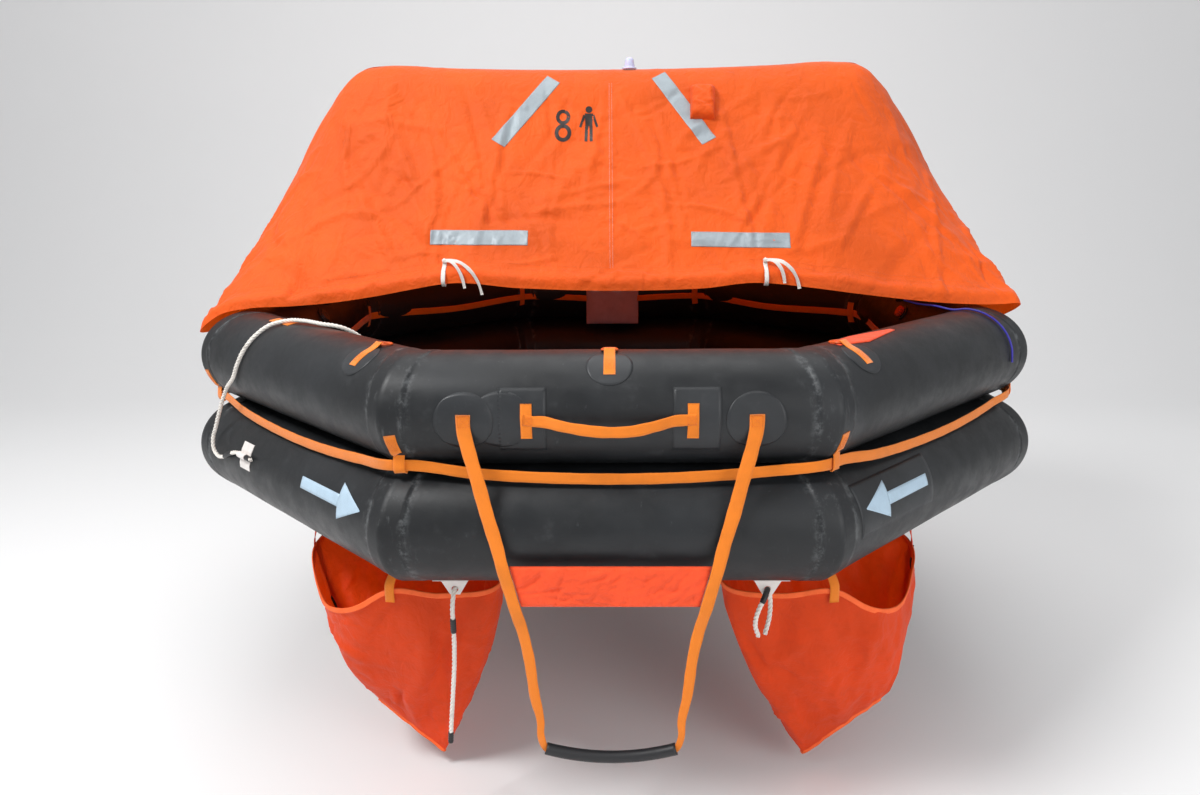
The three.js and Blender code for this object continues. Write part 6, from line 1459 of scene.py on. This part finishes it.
BAG_RIM = [(-742, -950, -160, 0, -1), (-655, -1010, -132, .2, -1), (-560, -1012, -82, .45, -1),
           (-440, -1000, -100, .75, -1), (-300, -960, -98, 1, -1), (-312, -780, -30, 1, 1), (-360, -610, -.5, .9, 1),
           (-500, -530, -.5, .7, 1), (-640, -540, -.5, .45, 1), (-770, -600, -38, .2, 1),
           (-852, -700, -92, .05, 1), (-815, -830, -132, 0, -.3)]
LEFT_SEAM = [(-650, -870, -480), (-470, -890, -628)]
RIGHT_SEAM = [(-738, -880, -470), (-530, -890, -632)]


def bag(name, node, seam, mirror_x, mirror_y, seed):
    rim = np.array(BAG_RIM, float)
    rim[:, :3] /= 1000
    seam = np.array(seam, float) / 1000
    closed = np.concatenate([rim[-3:], rim, rim[:4]])
    t = lengths(closed[:, :3])
    count, rows = 156, 54
    fine = spline(t, closed, np.linspace(t[3], t[-4], count + 1)[:-1])
    top = fine[:, :3]
    top[:, 2] = np.minimum(top[:, 2], -0.001)
    share, side = np.clip(fine[:, 3], 0, 1), np.clip(fine[:, 4], -1, 1)
    foot = seam[0] + share[:, None] * (seam[1] - seam[0])
    foot[:, 1] += side * 0.009
    centre = rim[:, :3].mean(0)
    away = unit((top - centre) * np.array([1, 1, 0]))
    fall = np.linspace(0, 1, rows)
    grid = (top[:, None] * (1 - fall)[None, :, None] + foot[:, None] * fall[None, :, None]
            + away[:, None] * (0.026 * np.sin(math.pi * fall))[None, :, None])
    around = lengths(np.concatenate([top, top[:1]]))[:-1]
    down = np.stack([lengths(c) for c in grid])
    flat = np.stack([np.broadcast_to(around[:, None] * 0.8, down.shape), down], -1)
    q = flat.reshape(-1, 2)
    rise = creases(q, 60, 0.26, 0.034, 0.016, seed, heading=math.pi / 2, spread=0.35)
    rise += creases(q, 190, 0.10, 0.017, 0.0065, seed + 1, heading=math.pi / 2, spread=1.1)
    rise += creases(q, 260, 0.05, 0.010, 0.0030, seed + 2)
    rise = rise.reshape(down.shape)
    u = around / around[-1] * 2 * math.pi
    rise += 0.006 * np.sin(u * 7 + 1)[:, None] * (np.sin(math.pi * fall) ** 1.2)[None]
    hold = np.clip(fall / 0.15, 0, 1) * np.clip((1 - fall) / 0.12, 0.1, 1)
    rise = np.clip(rise, -0.022, 0.014) * (0.12 + 0.88 * hold)
    du = np.roll(grid, -1, 0) - np.roll(grid, 1, 0)
    normal = unit(np.cross(np.gradient(grid, axis=1), du))
    if (normal[:, rows // 2] * away).sum() < 0:
        normal = -normal
    grid = grid + normal * rise[..., None]
    grid[..., 2] = np.minimum(grid[..., 2], -0.001)
    mirror = np.array([mirror_x, mirror_y, 1.0])
    grid = grid * mirror
    flip = mirror_x * mirror_y < 0
    faces = grid_faces(count, rows, close_rows=True, turn=flip)
    obj = put(f"bag_cloth_{name}", grid.reshape(-1, 3), faces, "bag", replaces=node, uv=q)
    stations = [(grid[k, 0] * (1, 1, 1) + (0, 0, -0.006), away[k] * mirror, 0.014) for k in range(0, count, 3)]
    web(f"bag_binding_{name}", stations, 0.0034, "piping", closed=True)
    lower = grid[:, -1]
    line = [(lower[k] + (0, 0, 0.0), away[k] * mirror, 0.012) for k in range(0, count, 3)]
    web(f"bag_foot_binding_{name}", line, 0.0028, "piping", closed=True)
    strip = []
    k = int(np.argmin(np.linalg.norm(top - np.array(BAG_RIM[10][:3]) / 1000, axis=1)))
    for row in range(1, rows - 8, 3):
        strip.append((grid[k, row] + away[k] * mirror * 0.0035, away[k] * mirror, 0.022))
    web(f"bag_strip_{name}", strip, 0.0016, "strip")
    for label, index, facing in (("peak", 2, (-0.2, -1, 0)), ("corner", 10, (-1, -0.2, 0))):
        foot_at = np.array(BAG_RIM[index][:3]) / 1000
        station = float(foot_at @ face_along(FRONT_LEFT))
        top_at = on_face(FRONT_LEFT, LOW_A, station, -0.0015)
        out = face_out(FRONT_LEFT)
        sideways = np.cross(face_along(FRONT_LEFT), (0, 0, 1))
        run = [(top_at + out * 0.016, (0, 0, -1), 0.025), (top_at - out * 0.002, (0, 0, -1), 0.025),
               (top_at - out * 0.008 + (0, 0, -0.012), sideways, 0.025),
               (foot_at + (0, 0, 0.008) + np.array(facing) * 0.003, facing, 0.025),
               (foot_at + (0, 0, -0.034) + np.array(facing) * 0.004, facing, 0.025)]
        web(f"bag_strap_{label}_{name}", [(np.array(p) * mirror, np.array(f) * mirror, w) for p, f, w in run], 0.0021,
            "bag" if label == "corner" else "web")


for name, seam, mx, my, seed in (("front_left", LEFT_SEAM, 1, 1, 61), ("front_right", RIGHT_SEAM, -1, 1, 71),
                                 ("rear_left", LEFT_SEAM, 1, -1, 81), ("rear_right", LEFT_SEAM, -1, -1, 91)):
    bag(name, "ballast_bag_" + name, seam, mx, my, seed)


# Gas cylinder and hoses

half = 0.260
profile = rounded([(0, -half), (0.0385, -half + 0.003), (0.0644, -half + 0.022), (0.0697, -half + 0.048),
                   (0.0697, half - 0.066), (0.0602, half - 0.034), (0.035, half - 0.012), (0.019, half - 0.004),
                   (0.019, half), (0, half)], 0.012, 6)
points, faces, uv = lathe(profile, 64)
turn = Matrix.Translation((0, 0.330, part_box("gas_cylinder")[0][2] + 0.070)) @ Matrix.Rotation(math.pi / 2, 4, "Y")
put("cylinder_shell", placed(points, turn), faces, "cylinder", replaces="gas_cylinder", uv=uv)

hose = np.array([(286, 374.3, -73.6), (286, 400, -73.6), (346, 440, -67.6), (560, 430, -46), (860, 414, -32),
                 (1010, 396, -18), (1100, 390, -18), (1180, 386, -16), (1253, 380, 30), (1269, 374, 110),
                 (1267, 370, 200), (1255, 368, 290), (1240.6, 366, 373.6), (1234.6, 366, 409.6)]) / 1000
hose_line = resample(hose, 0.006)
parts = [pipe(hose_line, 0.007, 18)]
parts.append(pipe(np.array([(1.2138, .366, UP_Z), (1.225, .366, UP_Z), (1.2438, .366, UP_Z)]), 0.0115, 24))
parts.append(pipe(np.array([(1.100, .390, -0.026), (1.100, .390, -0.01), (1.100, .390, 0.001)]), 0.0115, 24))
points, faces, uv = joined(parts)
put("hose_rubber", points, faces, "rubber", replaces="inflation_hoses", uv=uv)


# Valves

def valve_axis(face, degrees, tube):
    station = -0.120 if face == RIGHT else 0.120
    at = on_tube(tube, face, station, degrees, 0.0)
    return at, tube_normal(face, degrees)


def facing(at, direction):
    q = Vector(direction).to_track_quat("Z", "Y").to_matrix().to_4x4()
    return Matrix.Translation(Vector(at)) @ q


for name, tube, degrees in (("upper", UPPER, 150), ("lower", LOWER, 180)):
    at, normal = valve_axis(RIGHT, degrees, tube)
    profile = rounded([(0, 0), (0.025, 0.0002), (0.0248, 0.0036), (0.0142, 0.0046), (0.0138, 0.0140), (0, 0.0146)],
                      0.001)
    points, faces, uv = lathe(profile)
    put(f"valve_body_{name}", placed(points, facing(at, normal)), faces, "valve",
        replaces=f"topping_up_valve_{name}", uv=uv)
    low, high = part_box(f"valve_cap_{name}")
    middle = (np.array(low) + np.array(high)) / 2
    deep = float((middle - at) @ normal)
    angle = np.arange(144) * 2 * math.pi / 144
    ribs = 0.0168 + 0.0011 * np.clip(np.cos(12 * angle) * 2.2, -1, 1)
    rings = []
    for r, h in ((0.0142, -0.0078), (1, -0.0078), (1.0, -0.002), (1.0, 0.0055), (0.93, 0.0076), (0.6, 0.0078),
                 (0.0, 0.0072)):
        radial = ribs * r if r > 0.1 or r == 0 else np.full(144, r)
        rings.append(np.stack([radial * np.cos(angle), radial * np.sin(angle), np.full(144, deep + h)], -1))
    points = np.concatenate(rings)
    put(f"cap_shell_{name}", placed(points, facing(at, normal)), grid_faces(7, 144, close_columns=True), "cap",
        f"cap_{name}", f"valve_cap_{name}", points[:, :2])
    at, normal = valve_axis(LEFT, degrees, tube)
    profile = rounded([(0, 0), (0.0268, 0.0002), (0.0266, 0.0040), (0.022, 0.0066), (0.0215, 0.0104), (0.008, 0.0106),
                       (0.007, 0.0086), (0, 0.0086)], 0.001)
    points, faces, uv = lathe(profile)
    put(f"relief_body_{name}", placed(points, facing(at, normal)), faces, "valve",
        replaces=f"relief_valve_{name}", uv=uv)


# Bonded extras on the tubes: patches, arrows, short straps

tube_spread("round_patch_left", UPPER, FRONT, -0.236, 1, disc_grid(0.066), 0.0010, "patch")
for face, start, end, name in ((FRONT_LEFT, 0.136, 0.424, "left"), (FRONT_RIGHT, -0.409, -0.120, "right")):
    middle, long = (start + end) / 2, (end - start)
    head = 0.10
    sign = 1 if name == "left" else -1
    shaft = square_grid(long - head, 0.030, 5, 25) + np.array([sign * -head / 2, 0])
    tube_spread(f"arrow_shaft_{name}", LOWER, face, middle, 20, shaft, 0.0011, "arrow")
    u, v = np.meshgrid(np.linspace(0, 1, 17), np.linspace(-1, 1, 9))
    tip = np.stack([sign * (long / 2 - head + head * u), v * 0.045 * (1 - u * 0.97)], -1)
    tube_spread(f"arrow_head_{name}", LOWER, face, middle, 20, tip if sign > 0 else tip[:, ::-1], 0.0011, "arrow")
tube_spread("arrow_backing_right", LOWER, FRONT_RIGHT, -0.265, 20, square_grid(0.345, 0.13, 13, 31), 0.0006, "patch")
tube_spread("tube_strap_left", UPPER, FRONT_LEFT, -0.185, 84, square_grid(0.115, 0.032, 7, 15), 0.0016, "web")
u, v = np.meshgrid(np.linspace(-0.5, 0.5, 21), np.linspace(-0.5, 0.5, 7))
tube_spread("tube_flap_right", UPPER, FRONT_RIGHT, -0.215, 86,
            np.stack([u * 0.27, v * (0.058 - 0.075 * np.abs(u + 0.1))], -1), 0.0022, "step")
